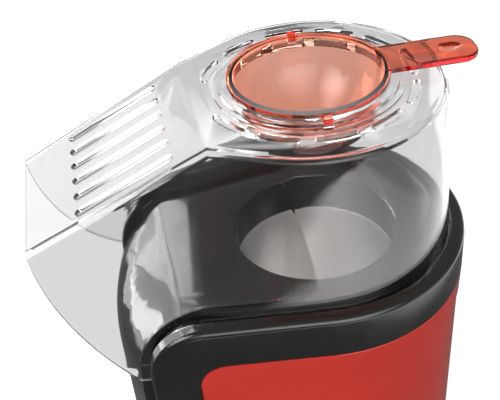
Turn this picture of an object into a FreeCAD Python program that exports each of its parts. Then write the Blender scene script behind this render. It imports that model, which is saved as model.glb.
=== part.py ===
"""Hot-air popcorn maker with a clear chute hood, a measuring cup and its inner works.

Millimetres, +Z up, the chute points along -X. Every piece is made round the upright axis of the
popping chamber and then moved so that the origin lies under the middle of the whole object.
"""
import FreeCAD, Part
import math
import os

from FreeCAD import Vector

os.makedirs("parts", exist_ok=True)

# Mouth, tray, ridge and rim of the black housing, from the chamber axis outwards
MOUTH_RADIUS = 46.0
MOUTH_DEPTH = 24.0
MOUTH_WALL = 2.6
MOUTH_EDGE_ROUND = 1.2
MOUTH_BOSS_RADIUS = 4.0
TRAY_WIDTH = 20.6
RIDGE_WALL = 2.3
RIDGE_HEIGHT = 9.0
GROOVE_INNER_GAP = 4.3
COVER_WALL = 2.4
GROOVE_OUTER_GAP = 0.6
RIM_WIDTH = 7.8
RIM_HEIGHT = 4.5
RIM_ROUND = 3.2
HOUSING_WALL = 2.6
SKIRT_HEIGHT = 20.0

# Plan and front of the housing
SIDE_TAPER = 8.0
BEND_REACH = 76.0
RIM_BEND_RADIUS = 30.0
SLIDE_REACH = 36.0
SLIDE_DROP = 50.0
SLIDE_BOW = 9.0
SLIDE_SECTIONS = 5
RIDGE_BEND_RADIUS = 45.0
RIDGE_SET_BACK = 0.5
GROOVE_DROP = 45.0
FASCIA_SIDE_WIDTH = 24.0
FASCIA_CORNER_RADIUS = 15.0

# Red shell
SHELL_WALL = 2.6
SHELL_GAP = 0.4
SHOULDER_HEIGHT = 15.0
SHOULDER_LEAN = 0.5
SHOULDER_STEP = 0.7
SHELL_DRAFT = 1.5
LIP_HEIGHT = 6.0
LIP_WALL = 2.0
LIP_ROOT_INSET = 1.0

# Heights from the table upwards
FOOT_HEIGHT = 4.0
BASE_WALL = 3.2
MOTOR_CLEARANCE = 8.0
MOTOR_LENGTH = 35.0
FAN_HOUSING_HEIGHT = 32.0
HEATER_HEIGHT = 15.5
CHAMBER_DEPTH = 72.5
GASKET_THICKNESS = 0.8

# Clear cover
COVER_HEIGHT = 93.7
COVER_LEAN = 5.1
COVER_EDGE_ROUND = 5.0
COVER_ROUND_STEPS = 5
ROOF_BREAK_REACH = 60.0
ROOF_BREAK_HALF_WIDTH = 47.7
CHUTE_LIP_REACH = 153.7
CHUTE_LIP_HEIGHT = 49.7
CHUTE_LIP_HALF_WIDTH = 43.5
CHUTE_TIP_REACH = 6.0
CHUTE_TIP_DROP = 34.0
CHUTE_MOUTH_BOW = 9.5
FOOT_CLEARANCE = 0.5
ROOF_SLOT_COUNT = 6
ROOF_SLOT_LENGTH = 56.0
ROOF_SLOT_WIDTH = 5.0
ROOF_SLOT_PITCH = 13.5
ROOF_SLOT_START = 18.0
VENT_SLOT_STEP = 30
VENT_SLOT_SPAN = 19.0
VENT_SLOT_WIDTH = 4.0
VENT_RING_GAP = 7.0
SEAT_HEIGHT = 3.0
SEAT_WIDTH = 5.6
SEAT_STEP_WIDTH = 3.0
SEAT_STEP_HEIGHT = 1.2
SEAT_CLEARANCE = 0.6
SEAT_LEDGE = 1.0

# Measuring cup
CUP_RIM_RADIUS = 41.9
CUP_RIM_HEIGHT = 2.3
CUP_WALL = 1.8
CUP_DEPTH = 34.5
CUP_BOTTOM_RADIUS = 23.5
CUP_BULGE = 4.0
CUP_REST_GAP = 0.3
CUP_TURN = -2.5
HANDLE_REACH = 88.0
HANDLE_HALF_WIDTH = 12.3
HANDLE_THICKNESS = 3.6
HANDLE_TIP_ROUND = 10.0
HANDLE_EDGE_ROUND = 1.0
HANDLE_PAD_GAP = 8.0
HANDLE_PAD_RADIUS = 15.0
HANDLE_PAD_STEP = 0.6
THUMB_LENGTH = 4.0
THUMB_RADIUS = 9.0
THUMB_DEPTH = 1.4
THUMB_INSET = 12.0
LUG_WIDTH = 4.4
LUG_LENGTH = 4.5
LUG_DROP = 2.6
LUG_CLEARANCE = 0.5
LUG_OVERLAP = 1.0

# Popping chamber, shroud and heater
CHAMBER_WALL = 0.8
CHAMBER_GAP = 0.4
CHAMBER_CORNER = 4.0
CHAMBER_CONE_HEIGHT = 6.0
LOUVRE_COUNT = 28
LOUVRE_WIDTH = 2.2
LOUVRE_HEIGHT = 6.0
LOUVRE_TILT = 45.0
LOUVRE_LIFT = 3.8
SHROUD_GAP = 10.0
SHROUD_WALL = 0.8
FLANGE_WIDTH = 8.0
BASE_FLANGE_WIDTH = 12.0
MICA_THICKNESS = 0.8
MICA_HEIGHT = 9.0
MICA_LEDGE = 3.2
MICA_END_GAP = 0.3
COIL_WIRE_RADIUS = 1.3
COIL_INNER_RADIUS = 18.0
COIL_PITCH = 8.0
COIL_HALF_TURNS = 7
COIL_REST_GAP = 0.2
THERMOSTAT_RADIUS = 8.0
THERMOSTAT_HEIGHT = 9.0
THERMOSTAT_LIFT = 16.0
TAB_LENGTH = 2.0
TAB_HALF_WIDTH = 1.6
TAB_HALF_THICKNESS = 0.4
TAB_HALF_SPACING = 4.0
FUSE_RADIUS = 2.0
FUSE_LENGTH = 11.0
FUSE_ANGLE = 150.0
FUSE_SADDLE_WALL = 0.6
FUSE_SADDLE_INSET = 3.0

# Fan and its housing
FAN_HOUSING_WALL = 2.5
FAN_SHROUD_MARGIN = 2.0
FAN_EAR_RADIUS = 4.5
FAN_EAR_ROOT = 1.0
FAN_TIP_GAP = 8.0
IMPELLER_HEIGHT = 17.0
IMPELLER_LIFT = 3.0
IMPELLER_PLATE = 1.5
IMPELLER_EYE_RADIUS = 30.0
IMPELLER_HUB_RADIUS = 5.0
BLADE_COUNT = 11
BLADE_WALL = 1.2
BLADE_ROOT_RADIUS = 16.0
BLADE_SWEEP = 38.0
BLADE_TIP_INSET = 1.0
BLADE_BEND_SHARE = 0.35
INTAKE_OUTER_RADIUS = 33.0
INTAKE_INNER_MARGIN = 2.0
INTAKE_SPOKE_WIDTH = 5.0
FAN_NUT_WIDTH = 5.5
FAN_NUT_HEIGHT = 2.4

# Motor
MOTOR_RADIUS = 17.5
MOTOR_CAN_WALL = 1.2
MOTOR_CAP_HEIGHT = 3.0
MOTOR_SCREW_CIRCLE = 11.0
BUSH_RADIUS = 4.0
BUSH_HEIGHT = 3.0
SHAFT_RADIUS = 1.5
SHAFT_RUN_CLEARANCE = 0.05
SHAFT_TAIL = 1.2
SHAFT_TOP_MARGIN = 1.5
MAGNET_WALL = 3.2
MAGNET_SPAN = 130.0
MAGNET_LENGTH = 20.0
ARMATURE_GAP = 0.8
ARMATURE_POLES = 3
ARMATURE_CORE_RADIUS = 5.0
POLE_WIDTH = 4.0
POLE_SHOE_WALL = 2.4
POLE_SHOE_SPAN = 88.0
WINDING_WALL = 2.0
WINDING_OVERHANG = 1.4
WINDING_GAP = 0.4
COMMUTATOR_RADIUS = 4.0
COMMUTATOR_HEIGHT = 3.0
BRUSH_GAP = 0.3
BRUSH_LENGTH = 4.0
BRUSH_WIDTH = 3.0

# Base, feet, screws and electrics
BASE_WALL_HEIGHT = 8.0
BASE_WALL_THICKNESS = 2.0
BASE_WALL_GAP = 0.4
PILLAR_RADIUS = 4.5
POST_ROOT = 2.2
FOOT_RADIUS = 9.0
FOOT_STEM_RADIUS = 3.0
FOOT_EDGE = 1.0
FRONT_FOOT_REACH = 84.0
FRONT_FOOT_HALF_SPACING = 34.0
REAR_FOOT_REACH = 48.0
REAR_FOOT_HALF_SPACING = 40.0
FRONT_SCREW_REACH = 91.0
FRONT_SCREW_HALF_SPACING = 53.0
REAR_SCREW_REACH = 33.0
REAR_SCREW_HALF_SPACING = 61.0
BOSS_HEIGHT = 24.0
BOSS_RIB = 2.4
SCREW_RADIUS = 1.5
SCREW_HEAD_RADIUS = 3.0
SCREW_HEAD_HEIGHT = 2.0
SCREW_HOLE_CLEARANCE = 0.3
SCREW_GRIP = 9.0
SCREW_TIP_GAP = 1.0
GRILLE_RADIUS = 36.0
GRILLE_REACH = 16.0
GRILLE_SLOT_WIDTH = 4.0
GRILLE_SLOT_PITCH = 8.0
BOARD_LENGTH = 24.0
BOARD_WIDTH = 28.0
BOARD_THICKNESS = 1.6
BOARD_LIFT = 6.0
BOARD_MOTOR_GAP = 8.0
BOARD_POST_RADIUS = 2.5
BOARD_POST_INSET = 3.5
DIODE_RADIUS = 2.2
DIODE_LENGTH = 9.0
DIODE_PITCH = 6.2
DIODE_GAP = 0.2
SWITCH_LIFT = 38.8
SWITCH_DEPTH = 13.0
SWITCH_HALF_WIDTH = 7.5
SWITCH_HALF_HEIGHT = 11.0
SWITCH_WALL = 1.1
BEZEL_MARGIN = 2.0
BEZEL_THICKNESS = 2.0
BEZEL_SEAT_GAP = 0.2
PANEL_CLEARANCE = 0.3
ROCKER_CLEARANCE = 0.5
ROCKER_TILT = 9.0
ROCKER_PIN_RADIUS = 1.0
ROCKER_CREST = 4.0
ROCKER_BACK = 4.5
ROCKER_SET_BACK = 3.4
GLAND_LIFT = 16.8
GLAND_RADIUS = 5.0
GLAND_FLANGE_RADIUS = 6.5
GLAND_FLANGE = 2.0
GLAND_SEAT_GAP = 0.1
GLAND_BORE_RADIUS = 3.4
GLAND_TAIL = 3.0

# Radii that follow from the rows above
RIDGE_INNER = MOUTH_RADIUS + TRAY_WIDTH
RIDGE_OUTER = RIDGE_INNER + RIDGE_WALL
COVER_FOOT_RADIUS = RIDGE_OUTER + GROOVE_INNER_GAP + COVER_WALL
RIM_INNER = COVER_FOOT_RADIUS + GROOVE_OUTER_GAP
RIM_OUTER = RIM_INNER + RIM_WIDTH
SHELL_TOP_RADIUS = RIM_OUTER - SHOULDER_LEAN - SHOULDER_STEP
SHELL_LOW_RADIUS = SHELL_TOP_RADIUS - SHELL_DRAFT
CHAMBER_RADIUS = MOUTH_RADIUS + CHAMBER_GAP
CHAMBER_OUTER = CHAMBER_RADIUS + CHAMBER_WALL
SHROUD_INNER = CHAMBER_OUTER + SHROUD_GAP
SHROUD_OUTER = SHROUD_INNER + SHROUD_WALL
FLANGE_RADIUS = SHROUD_OUTER + FLANGE_WIDTH
BASE_FLANGE_RADIUS = SHROUD_OUTER + BASE_FLANGE_WIDTH
CHAMBER_SCREW_CIRCLE = SHROUD_OUTER + FLANGE_WIDTH / 2
FAN_OUTER = SHROUD_OUTER + FAN_HOUSING_WALL + FAN_SHROUD_MARGIN
FAN_INNER = FAN_OUTER - FAN_HOUSING_WALL
FAN_EAR_CIRCLE = FAN_OUTER + FAN_EAR_RADIUS - FAN_EAR_ROOT
SHROUD_SCREW_CIRCLE = BASE_FLANGE_RADIUS - FAN_EAR_RADIUS
IMPELLER_RADIUS = FAN_INNER - FAN_TIP_GAP
SCREW_PASS_RADIUS = SCREW_RADIUS + SCREW_HOLE_CLEARANCE

# Levels that follow from the stack of heights
BASE_TOP = FOOT_HEIGHT + BASE_WALL
MOTOR_LOW = BASE_TOP + MOTOR_CLEARANCE
FAN_LOW = MOTOR_LOW + MOTOR_LENGTH
FAN_TOP = FAN_LOW + FAN_HOUSING_HEIGHT
CHAMBER_FLOOR = FAN_TOP + HEATER_HEIGHT
CHAMBER_TOP = CHAMBER_FLOOR + CHAMBER_DEPTH
MOUTH_LOW = CHAMBER_TOP + GASKET_THICKNESS
TRAY_LEVEL = MOUTH_LOW + MOUTH_DEPTH
SKIRT_LOW = TRAY_LEVEL - SKIRT_HEIGHT
SHOULDER_LOW = SKIRT_LOW - SHELL_GAP - SHOULDER_HEIGHT
COVER_TOP = TRAY_LEVEL + COVER_HEIGHT
SEAT_TOP = COVER_TOP + SEAT_HEIGHT
CUP_UNDER_RIM = SEAT_TOP + CUP_REST_GAP
CUP_TOP = CUP_UNDER_RIM + CUP_RIM_HEIGHT
BASE_WALL_TOP = BASE_TOP + BASE_WALL_HEIGHT
POST_LOW = BASE_TOP - POST_ROOT
IMPELLER_LOW = FAN_LOW + FAN_HOUSING_WALL + IMPELLER_LIFT
IMPELLER_TOP = IMPELLER_LOW + IMPELLER_HEIGHT
SHAFT_TOP = IMPELLER_TOP + FAN_NUT_HEIGHT + SHAFT_TOP_MARGIN

# Reaches towards the chute that follow from the bend of the tray
RIM_FRONT = BEND_REACH + RIM_BEND_RADIUS
SLIDE_FRONT = BEND_REACH + SLIDE_REACH
RIDGE_FRONT = SLIDE_FRONT - RIDGE_SET_BACK
FASCIA_EDGE = RIM_FRONT - FASCIA_SIDE_WIDTH
GROOVE_BEND_RADIUS = RIM_BEND_RADIUS - RIM_HEIGHT
TIP_REACH = RIM_FRONT + CHUTE_TIP_REACH
ROOF_SLOPE = math.atan2(COVER_HEIGHT - CHUTE_LIP_HEIGHT, CHUTE_LIP_REACH - ROOF_BREAK_REACH)
AXIS_SHIFT = (CHUTE_LIP_REACH - max(HANDLE_REACH, RIM_OUTER)) / 2
FAR = 2 * (CHUTE_LIP_REACH + HANDLE_REACH)
OVERCUT = 5.0
PLAN_REACH = CHUTE_LIP_REACH + 2 * OVERCUT
TINY = 0.01


def write_node(name, shape):
    """Move a piece from the chamber axis to the object's origin and save it."""
    placed = shape.copy()
    placed.translate(Vector(AXIS_SHIFT, 0, 0))
    placed.exportStep("parts/" + name + ".step")


def joined(shapes):
    """One solid from pieces that overlap or touch."""
    result = shapes[0].fuse(shapes[1:]).removeSplitter()
    return result.Solids[0] if len(result.Solids) == 1 else result


def cylinder(radius, low, high, x=0.0, y=0.0):
    """Upright cylinder between two levels."""
    return Part.makeCylinder(radius, high - low, Vector(x, y, low))


def tube(outer, inner, low, high, x=0.0, y=0.0):
    """Upright tube between two levels."""
    return cylinder(outer, low, high, x, y).cut(cylinder(inner, low - OVERCUT, high + OVERCUT, x, y))


def box(x_range, y_range, z_range):
    """Box from its limits along the three axes."""
    size = [high - low for low, high in (x_range, y_range, z_range)]
    return Part.makeBox(size[0], size[1], size[2], Vector(x_range[0], y_range[0], z_range[0]))


def round_places(count, circle, start=0.0):
    """Points spread evenly round the chamber axis."""
    angles = [math.radians(start + 360.0 * index / count) for index in range(count)]
    return [(circle * math.cos(angle), circle * math.sin(angle)) for angle in angles]


def turned(shape, degrees):
    """Copy of a shape turned about the chamber axis."""
    copy = shape.copy()
    copy.rotate(Vector(0, 0, 0), Vector(0, 0, 1), degrees)
    return copy


def sector(outer, inner, span, low, high):
    """Part of a tube that spans an angle centred on +X."""
    half = math.radians(span / 2)

    def at(radius, angle):
        return Vector(radius * math.cos(angle), radius * math.sin(angle), low)

    edges = [
        Part.Arc(at(outer, -half), at(outer, 0), at(outer, half)).toShape(),
        Part.LineSegment(at(outer, half), at(inner, half)).toShape(),
        Part.Arc(at(inner, half), at(inner, 0), at(inner, -half)).toShape(),
        Part.LineSegment(at(inner, -half), at(outer, -half)).toShape(),
    ]
    return Part.Face(Part.Wire(edges)).extrude(Vector(0, 0, high - low))


def half_width(radius, taper, reach):
    """Half width of a plan outline at a distance in front of the chamber axis."""
    angle = math.radians(taper)
    return (radius - reach * math.sin(angle)) / math.cos(angle)


def plan_wire(radius, taper, reach, bow, level):
    """Plan outline: round at the back, straight tapering sides and a front that may bow out."""
    angle = math.radians(taper)
    back_x = -radius * math.sin(angle)
    back_y = radius * math.cos(angle)
    front_y = half_width(radius, taper, reach)
    left = Vector(-reach, front_y, level)
    right = Vector(-reach, -front_y, level)
    if bow > 0:
        front = Part.Arc(left, Vector(-reach - bow, 0, level), right).toShape()
    else:
        front = Part.LineSegment(left, right).toShape()
    back_left = Vector(back_x, back_y, level)
    back_right = Vector(back_x, -back_y, level)
    edges = [
        Part.Arc(back_right, Vector(radius, 0, level), back_left).toShape(),
        Part.LineSegment(back_left, left).toShape(),
        front,
        Part.LineSegment(right, back_right).toShape(),
    ]
    return Part.Wire(edges)


def plan_prism(radius, taper, reach, low, high, bow=0.0):
    """Upright solid over a plan outline."""
    return Part.Face(plan_wire(radius, taper, reach, bow, low)).extrude(Vector(0, 0, high - low))


def plan_loft(low_radius, high_radius, taper, reach, low, high):
    """Solid between two plan outlines, for walls with draft."""
    low_wire = plan_wire(low_radius, taper, reach, 0.0, low)
    high_wire = plan_wire(high_radius, taper, reach, 0.0, high)
    return Part.makeLoft([low_wire, high_wire], True, True)


def side_extrusion(edges):
    """Solid through the whole width from a closed outline in the XZ plane."""
    solid = Part.Face(Part.Wire(edges)).extrude(Vector(0, 2 * FAR, 0))
    solid.translate(Vector(0, -FAR, 0))
    return solid


def quarter_arc(centre_x, centre_z, radius, start, end):
    """Arc edge in the XZ plane between two angles in degrees."""
    def at(degrees):
        angle = math.radians(degrees)
        return Vector(centre_x + radius * math.cos(angle), 0, centre_z + radius * math.sin(angle))

    return Part.Arc(at(start), at((start + end) / 2), at(end)).toShape()


def segment(x1, z1, x2, z2):
    """Straight edge in the XZ plane."""
    return Part.LineSegment(Vector(x1, 0, z1), Vector(x2, 0, z2)).toShape()


def below_bend(level, reach, radius, low):
    """Everything under a surface that runs level and then turns down towards the front."""
    front = -reach - radius
    edges = [
        segment(FAR, low, FAR, level),
        segment(FAR, level, -reach, level),
        quarter_arc(-reach, level - radius, radius, 90, 180),
        segment(front, level - radius, front, low),
        segment(front, low, FAR, low),
    ]
    return side_extrusion(edges)


def shell_zone(gap):
    """Side region that the red shell fills, with its rounded upper front corner."""
    front = -FASCIA_EDGE + gap
    top = SKIRT_LOW - gap
    radius = FASCIA_CORNER_RADIUS - gap
    low = BASE_TOP - OVERCUT
    edges = [
        segment(FAR, low, FAR, top),
        segment(FAR, top, front + radius, top),
        quarter_arc(front + radius, top - radius, radius, 90, 180),
        segment(front, top - radius, front, low),
        segment(front, low, FAR, low),
    ]
    return side_extrusion(edges)


def is_outer_rim_edge(edge):
    """True for the edges where the rim's outside meets its top, its bend and its front."""
    bounds = edge.BoundBox
    straight_across = bounds.XLength < TINY and bounds.YLength > 1.0
    seam = bounds.ZLength > 1.0 and bounds.XLength < TINY and bounds.XMax > -BEND_REACH
    at_bottom = bounds.ZMax < BASE_TOP + TINY
    return not (straight_across or seam or at_bottom)


def rim_body():
    """Rim, skirt and front corners before hollowing, with the groove for the cover cut in."""
    outline = plan_prism(RIM_OUTER, SIDE_TAPER, PLAN_REACH, BASE_TOP, TRAY_LEVEL + RIM_HEIGHT)
    body = outline.common(below_bend(TRAY_LEVEL + RIM_HEIGHT, BEND_REACH, RIM_BEND_RADIUS, BASE_TOP))
    body = body.makeFillet(RIM_ROUND, [edge for edge in body.Edges if is_outer_rim_edge(edge)])
    groove_low = TRAY_LEVEL - GROOVE_DROP
    groove = plan_prism(RIM_INNER, SIDE_TAPER, PLAN_REACH, groove_low, TRAY_LEVEL + RIM_HEIGHT + OVERCUT)
    groove = groove.cut(below_bend(TRAY_LEVEL, BEND_REACH, GROOVE_BEND_RADIUS, groove_low - OVERCUT))
    return body.cut(groove)


def slide_bow(y):
    """How far the bowed front stands out at a distance from the middle."""
    half = half_width(RIDGE_OUTER, SIDE_TAPER, SLIDE_FRONT)
    curve = (half ** 2 + SLIDE_BOW ** 2) / (2 * SLIDE_BOW)
    return math.sqrt(curve ** 2 - y ** 2) - curve + SLIDE_BOW


def slide_section(y, inset, low):
    """Side outline of tray and slide: level, a crease, then an arc that ends upright."""
    top = TRAY_LEVEL - inset
    front = SLIDE_FRONT + slide_bow(y) - inset
    run = front - BEND_REACH
    radius = (run ** 2 + SLIDE_DROP ** 2) / (2 * run)
    centre_x = radius - front
    start = math.degrees(math.atan2(SLIDE_DROP, -BEND_REACH - centre_x))
    wire = Part.Wire([
        segment(RIM_OUTER, low, RIM_OUTER, top),
        segment(RIM_OUTER, top, -BEND_REACH, top),
        quarter_arc(centre_x, top - SLIDE_DROP, radius, start, 180),
        segment(-front, top - SLIDE_DROP, -front, low),
        segment(-front, low, RIM_OUTER, low),
    ])
    wire.translate(Vector(0, y, 0))
    return wire


def slide_body(inset):
    """Tray block whose front breaks at a crease and rolls over into the bowed front panel."""
    low = BASE_TOP - (OVERCUT if inset > 0 else 0.0)
    span = 2 * RIM_OUTER / (SLIDE_SECTIONS - 1)
    sections = [slide_section(index * span - RIM_OUTER, inset, low) for index in range(SLIDE_SECTIONS)]
    block = Part.makeLoft(sections, True, False)
    return block.common(plan_prism(RIDGE_OUTER - inset, SIDE_TAPER, PLAN_REACH, low - OVERCUT, COVER_TOP))


def ridge_walls():
    """Upright ridge round the tray, following the slide down at the sides."""
    high = TRAY_LEVEL + RIDGE_HEIGHT
    low = TRAY_LEVEL - SLIDE_DROP
    outer = plan_prism(RIDGE_OUTER, SIDE_TAPER, RIDGE_FRONT, low, high)
    inner = plan_prism(RIDGE_INNER, SIDE_TAPER, PLAN_REACH, low - OVERCUT, high + OVERCUT)
    bend = below_bend(high, RIDGE_FRONT - RIDGE_BEND_RADIUS, RIDGE_BEND_RADIUS, low)
    return outer.cut(inner).common(bend)


def boss_with_rib(x, y, low, high, wall_y):
    """Screw boss with a rib that ties it to the side wall."""
    boss = cylinder(PILLAR_RADIUS, low, high, x, y)
    rib = box((x - BOSS_RIB / 2, x + BOSS_RIB / 2), sorted((y, wall_y)), (low, high))
    pilot = cylinder(SCREW_RADIUS, low - OVERCUT, low + SCREW_GRIP + SCREW_HEAD_HEIGHT, x, y)
    return boss.fuse(rib).cut(pilot)


def make_top_housing():
    """Black moulding with tray, mouth ring, ridge, rim, skirt, slide and fascia."""
    outside = rim_body().fuse([slide_body(0.0), ridge_walls()])
    hollow = plan_prism(RIM_OUTER - HOUSING_WALL, SIDE_TAPER, PLAN_REACH, 0.0, TRAY_LEVEL)
    hollow_bend = below_bend(
        TRAY_LEVEL - HOUSING_WALL, BEND_REACH, GROOVE_BEND_RADIUS - HOUSING_WALL, -OVERCUT)
    housing = outside.cut([hollow.common(hollow_bend), slide_body(HOUSING_WALL), shell_zone(0.0)])
    ring = tube(MOUTH_RADIUS + MOUTH_WALL, MOUTH_RADIUS, MOUTH_LOW, TRAY_LEVEL)
    pieces = [housing.cut(cylinder(MOUTH_RADIUS, 0.0, TRAY_LEVEL + OVERCUT)), ring]
    for x, y in round_places(4, CHAMBER_SCREW_CIRCLE, 45):
        boss = cylinder(MOUTH_BOSS_RADIUS, CHAMBER_TOP, TRAY_LEVEL - HOUSING_WALL / 2, x, y)
        pilot = cylinder(SCREW_RADIUS, CHAMBER_TOP - OVERCUT, CHAMBER_TOP + SCREW_GRIP, x, y)
        pieces.append(boss.cut(pilot))
    wall_y = half_width(RIM_OUTER - HOUSING_WALL / 2, SIDE_TAPER, FRONT_SCREW_REACH)
    for side in (-1, 1):
        pieces.append(boss_with_rib(
            -FRONT_SCREW_REACH, side * FRONT_SCREW_HALF_SPACING,
            BASE_WALL_TOP, BASE_WALL_TOP + BOSS_HEIGHT, side * wall_y))
    housing = joined(pieces)
    mouth_edge = [
        edge for edge in housing.Edges
        if abs(edge.BoundBox.ZMin - TRAY_LEVEL) < TINY and abs(edge.BoundBox.XMax - MOUTH_RADIUS) < TINY
        and edge.BoundBox.ZLength < TINY
    ]
    return housing.makeFillet(MOUTH_EDGE_ROUND, mouth_edge)


def shell_radius(level):
    """Outer radius of the red shell's lower wall at a level."""
    share = (level - BASE_TOP) / (SHOULDER_LOW - BASE_TOP)
    return SHELL_LOW_RADIUS + share * SHELL_DRAFT


def switch_level():
    """Middle level of the switch."""
    return BASE_TOP + SWITCH_LIFT


def shell_body(inset):
    """Lower wall and shoulder of the red shell as one filled form."""
    low = BASE_TOP - (OVERCUT if inset > 0 else 0.0)
    high = SKIRT_LOW - SHELL_GAP + (OVERCUT if inset > 0 else 0.0)
    wall = plan_loft(
        shell_radius(low) - inset, SHELL_TOP_RADIUS - inset, SIDE_TAPER, PLAN_REACH, low, SHOULDER_LOW)
    shoulder = plan_loft(
        RIM_OUTER - SHOULDER_LEAN - inset, RIM_OUTER - inset, SIDE_TAPER, PLAN_REACH, SHOULDER_LOW, high)
    return wall.fuse(shoulder)


def make_outer_shell():
    """Red side shell, open at the top, the front and below."""
    shell = shell_body(0.0).cut(shell_body(SHELL_WALL)).common(shell_zone(SHELL_GAP))
    seat_low = SKIRT_LOW - LIP_HEIGHT
    lip_outer = RIM_OUTER - HOUSING_WALL - SHELL_GAP
    lip_inner = lip_outer - LIP_WALL
    lip_bore = plan_prism(lip_inner, SIDE_TAPER, PLAN_REACH, seat_low - OVERCUT, SKIRT_LOW + 2 * LIP_HEIGHT)
    root = plan_prism(RIM_OUTER - LIP_ROOT_INSET, SIDE_TAPER, PLAN_REACH, seat_low, SKIRT_LOW - SHELL_GAP)
    lip = plan_prism(lip_outer, SIDE_TAPER, PLAN_REACH, seat_low, SKIRT_LOW + LIP_HEIGHT)
    lip_front = FASCIA_EDGE - FASCIA_CORNER_RADIUS - OVERCUT
    behind = box((-lip_front, FAR), (-FAR, FAR), (0, FAR))
    pieces = [shell, root.fuse(lip).cut(lip_bore).common(behind)]
    wall_y = half_width(SHELL_LOW_RADIUS - SHELL_WALL / 2, SIDE_TAPER, 0.0)
    wall_y = math.sqrt(wall_y ** 2 - REAR_SCREW_REACH ** 2)
    for side in (-1, 1):
        pieces.append(boss_with_rib(
            REAR_SCREW_REACH, side * REAR_SCREW_HALF_SPACING,
            BASE_WALL_TOP, BASE_WALL_TOP + BOSS_HEIGHT, side * wall_y))
    shell = joined(pieces)
    level = switch_level()
    reach = (shell_radius(level) - SHELL_WALL - OVERCUT, RIM_OUTER + OVERCUT)
    half_y = SWITCH_HALF_WIDTH + PANEL_CLEARANCE
    half_z = SWITCH_HALF_HEIGHT + PANEL_CLEARANCE
    window = box(reach, (-half_y, half_y), (level - half_z, level + half_z))
    gland_hole = Part.makeCylinder(
        GLAND_RADIUS, FAR, Vector(MOTOR_RADIUS, 0, BASE_TOP + GLAND_LIFT), Vector(1, 0, 0))
    return shell.cut([window, gland_hole])


def base_screw_places():
    """Plan places of the four screws that close the base."""
    places = []
    for side in (-1, 1):
        places.append((-FRONT_SCREW_REACH, side * FRONT_SCREW_HALF_SPACING))
        places.append((REAR_SCREW_REACH, side * REAR_SCREW_HALF_SPACING))
    return places


def foot_places():
    """Names and plan places of the four feet."""
    return {
        "foot_front_left": (-FRONT_FOOT_REACH, FRONT_FOOT_HALF_SPACING),
        "foot_front_right": (-FRONT_FOOT_REACH, -FRONT_FOOT_HALF_SPACING),
        "foot_rear_left": (REAR_FOOT_REACH, REAR_FOOT_HALF_SPACING),
        "foot_rear_right": (REAR_FOOT_REACH, -REAR_FOOT_HALF_SPACING),
    }


def board_start():
    """Where the rectifier board begins behind the motor."""
    return MOTOR_RADIUS + BOARD_MOTOR_GAP


def grille_slots():
    """Rows of air slots in the base, as long as the round grille allows."""
    slots = []
    rows = int(GRILLE_RADIUS / GRILLE_SLOT_PITCH)
    for row in range(-rows, rows + 1):
        y = row * GRILLE_SLOT_PITCH
        half_y = GRILLE_SLOT_WIDTH / 2
        half_x = math.sqrt(GRILLE_RADIUS ** 2 - y ** 2) - half_y
        if half_x < GRILLE_SLOT_WIDTH:
            continue
        x_range = (-GRILLE_REACH - half_x, -GRILLE_REACH + half_x)
        slot = box(x_range, (y - half_y, y + half_y), (0, BASE_TOP + OVERCUT))
        ends = [cylinder(half_y, 0, BASE_TOP + OVERCUT, x, y) for x in x_range]
        slots.append(slot.fuse(ends))
    return slots


def make_base_plate():
    """Base with intake grille, locating wall, fan pillars and board posts."""
    plate = joined([
        plan_prism(SHELL_LOW_RADIUS, SIDE_TAPER, RIM_FRONT, FOOT_HEIGHT, BASE_TOP),
        plan_prism(RIDGE_OUTER, SIDE_TAPER, SLIDE_FRONT, FOOT_HEIGHT, BASE_TOP, SLIDE_BOW),
    ])
    wall_radius = SHELL_LOW_RADIUS - SHELL_WALL - BASE_WALL_GAP
    wall_reach = RIM_FRONT - RIM_HEIGHT - HOUSING_WALL - BASE_WALL_GAP
    thickness = BASE_WALL_THICKNESS
    wall = plan_prism(wall_radius, SIDE_TAPER, wall_reach, POST_LOW, BASE_WALL_TOP)
    wall = wall.cut(plan_prism(wall_radius - thickness, SIDE_TAPER, wall_reach - thickness, 0, FAR))
    pieces = [plate, wall]
    cuts = grille_slots()
    for x, y in round_places(4, FAN_EAR_CIRCLE, 45):
        pieces.append(cylinder(PILLAR_RADIUS, POST_LOW, FAN_LOW, x, y))
        cuts.append(cylinder(SCREW_RADIUS, FAN_LOW - SCREW_GRIP, FAN_LOW + OVERCUT, x, y))
    for x, y in base_screw_places():
        pieces.append(cylinder(PILLAR_RADIUS, POST_LOW, BASE_WALL_TOP, x, y))
        cuts.append(cylinder(SCREW_PASS_RADIUS, 0, BASE_WALL_TOP + OVERCUT, x, y))
        head_room = SCREW_HEAD_RADIUS + SCREW_HOLE_CLEARANCE
        cuts.append(cylinder(head_room, 0, FOOT_HEIGHT + SCREW_HEAD_HEIGHT, x, y))
    for x, y in foot_places().values():
        cuts.append(cylinder(FOOT_STEM_RADIUS, 0, BASE_TOP + OVERCUT, x, y))
    for x in (board_start() + BOARD_POST_INSET, board_start() + BOARD_LENGTH - BOARD_POST_INSET):
        for y in (-BOARD_WIDTH / 2 + BOARD_POST_INSET, BOARD_WIDTH / 2 - BOARD_POST_INSET):
            pieces.append(cylinder(BOARD_POST_RADIUS, POST_LOW, BASE_TOP + BOARD_LIFT, x, y))
    return joined(pieces).cut(cuts)


def make_foot(x, y):
    """Rubber foot with a rounded lower edge and a stem that plugs into the base."""
    pad = cylinder(FOOT_RADIUS, 0, FOOT_HEIGHT, x, y)
    lower = [edge for edge in pad.Edges if edge.BoundBox.ZMax < TINY]
    pad = pad.makeChamfer(FOOT_EDGE, lower)
    return joined([pad, cylinder(FOOT_STEM_RADIUS, FOOT_HEIGHT / 2, BASE_TOP, x, y)])


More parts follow.
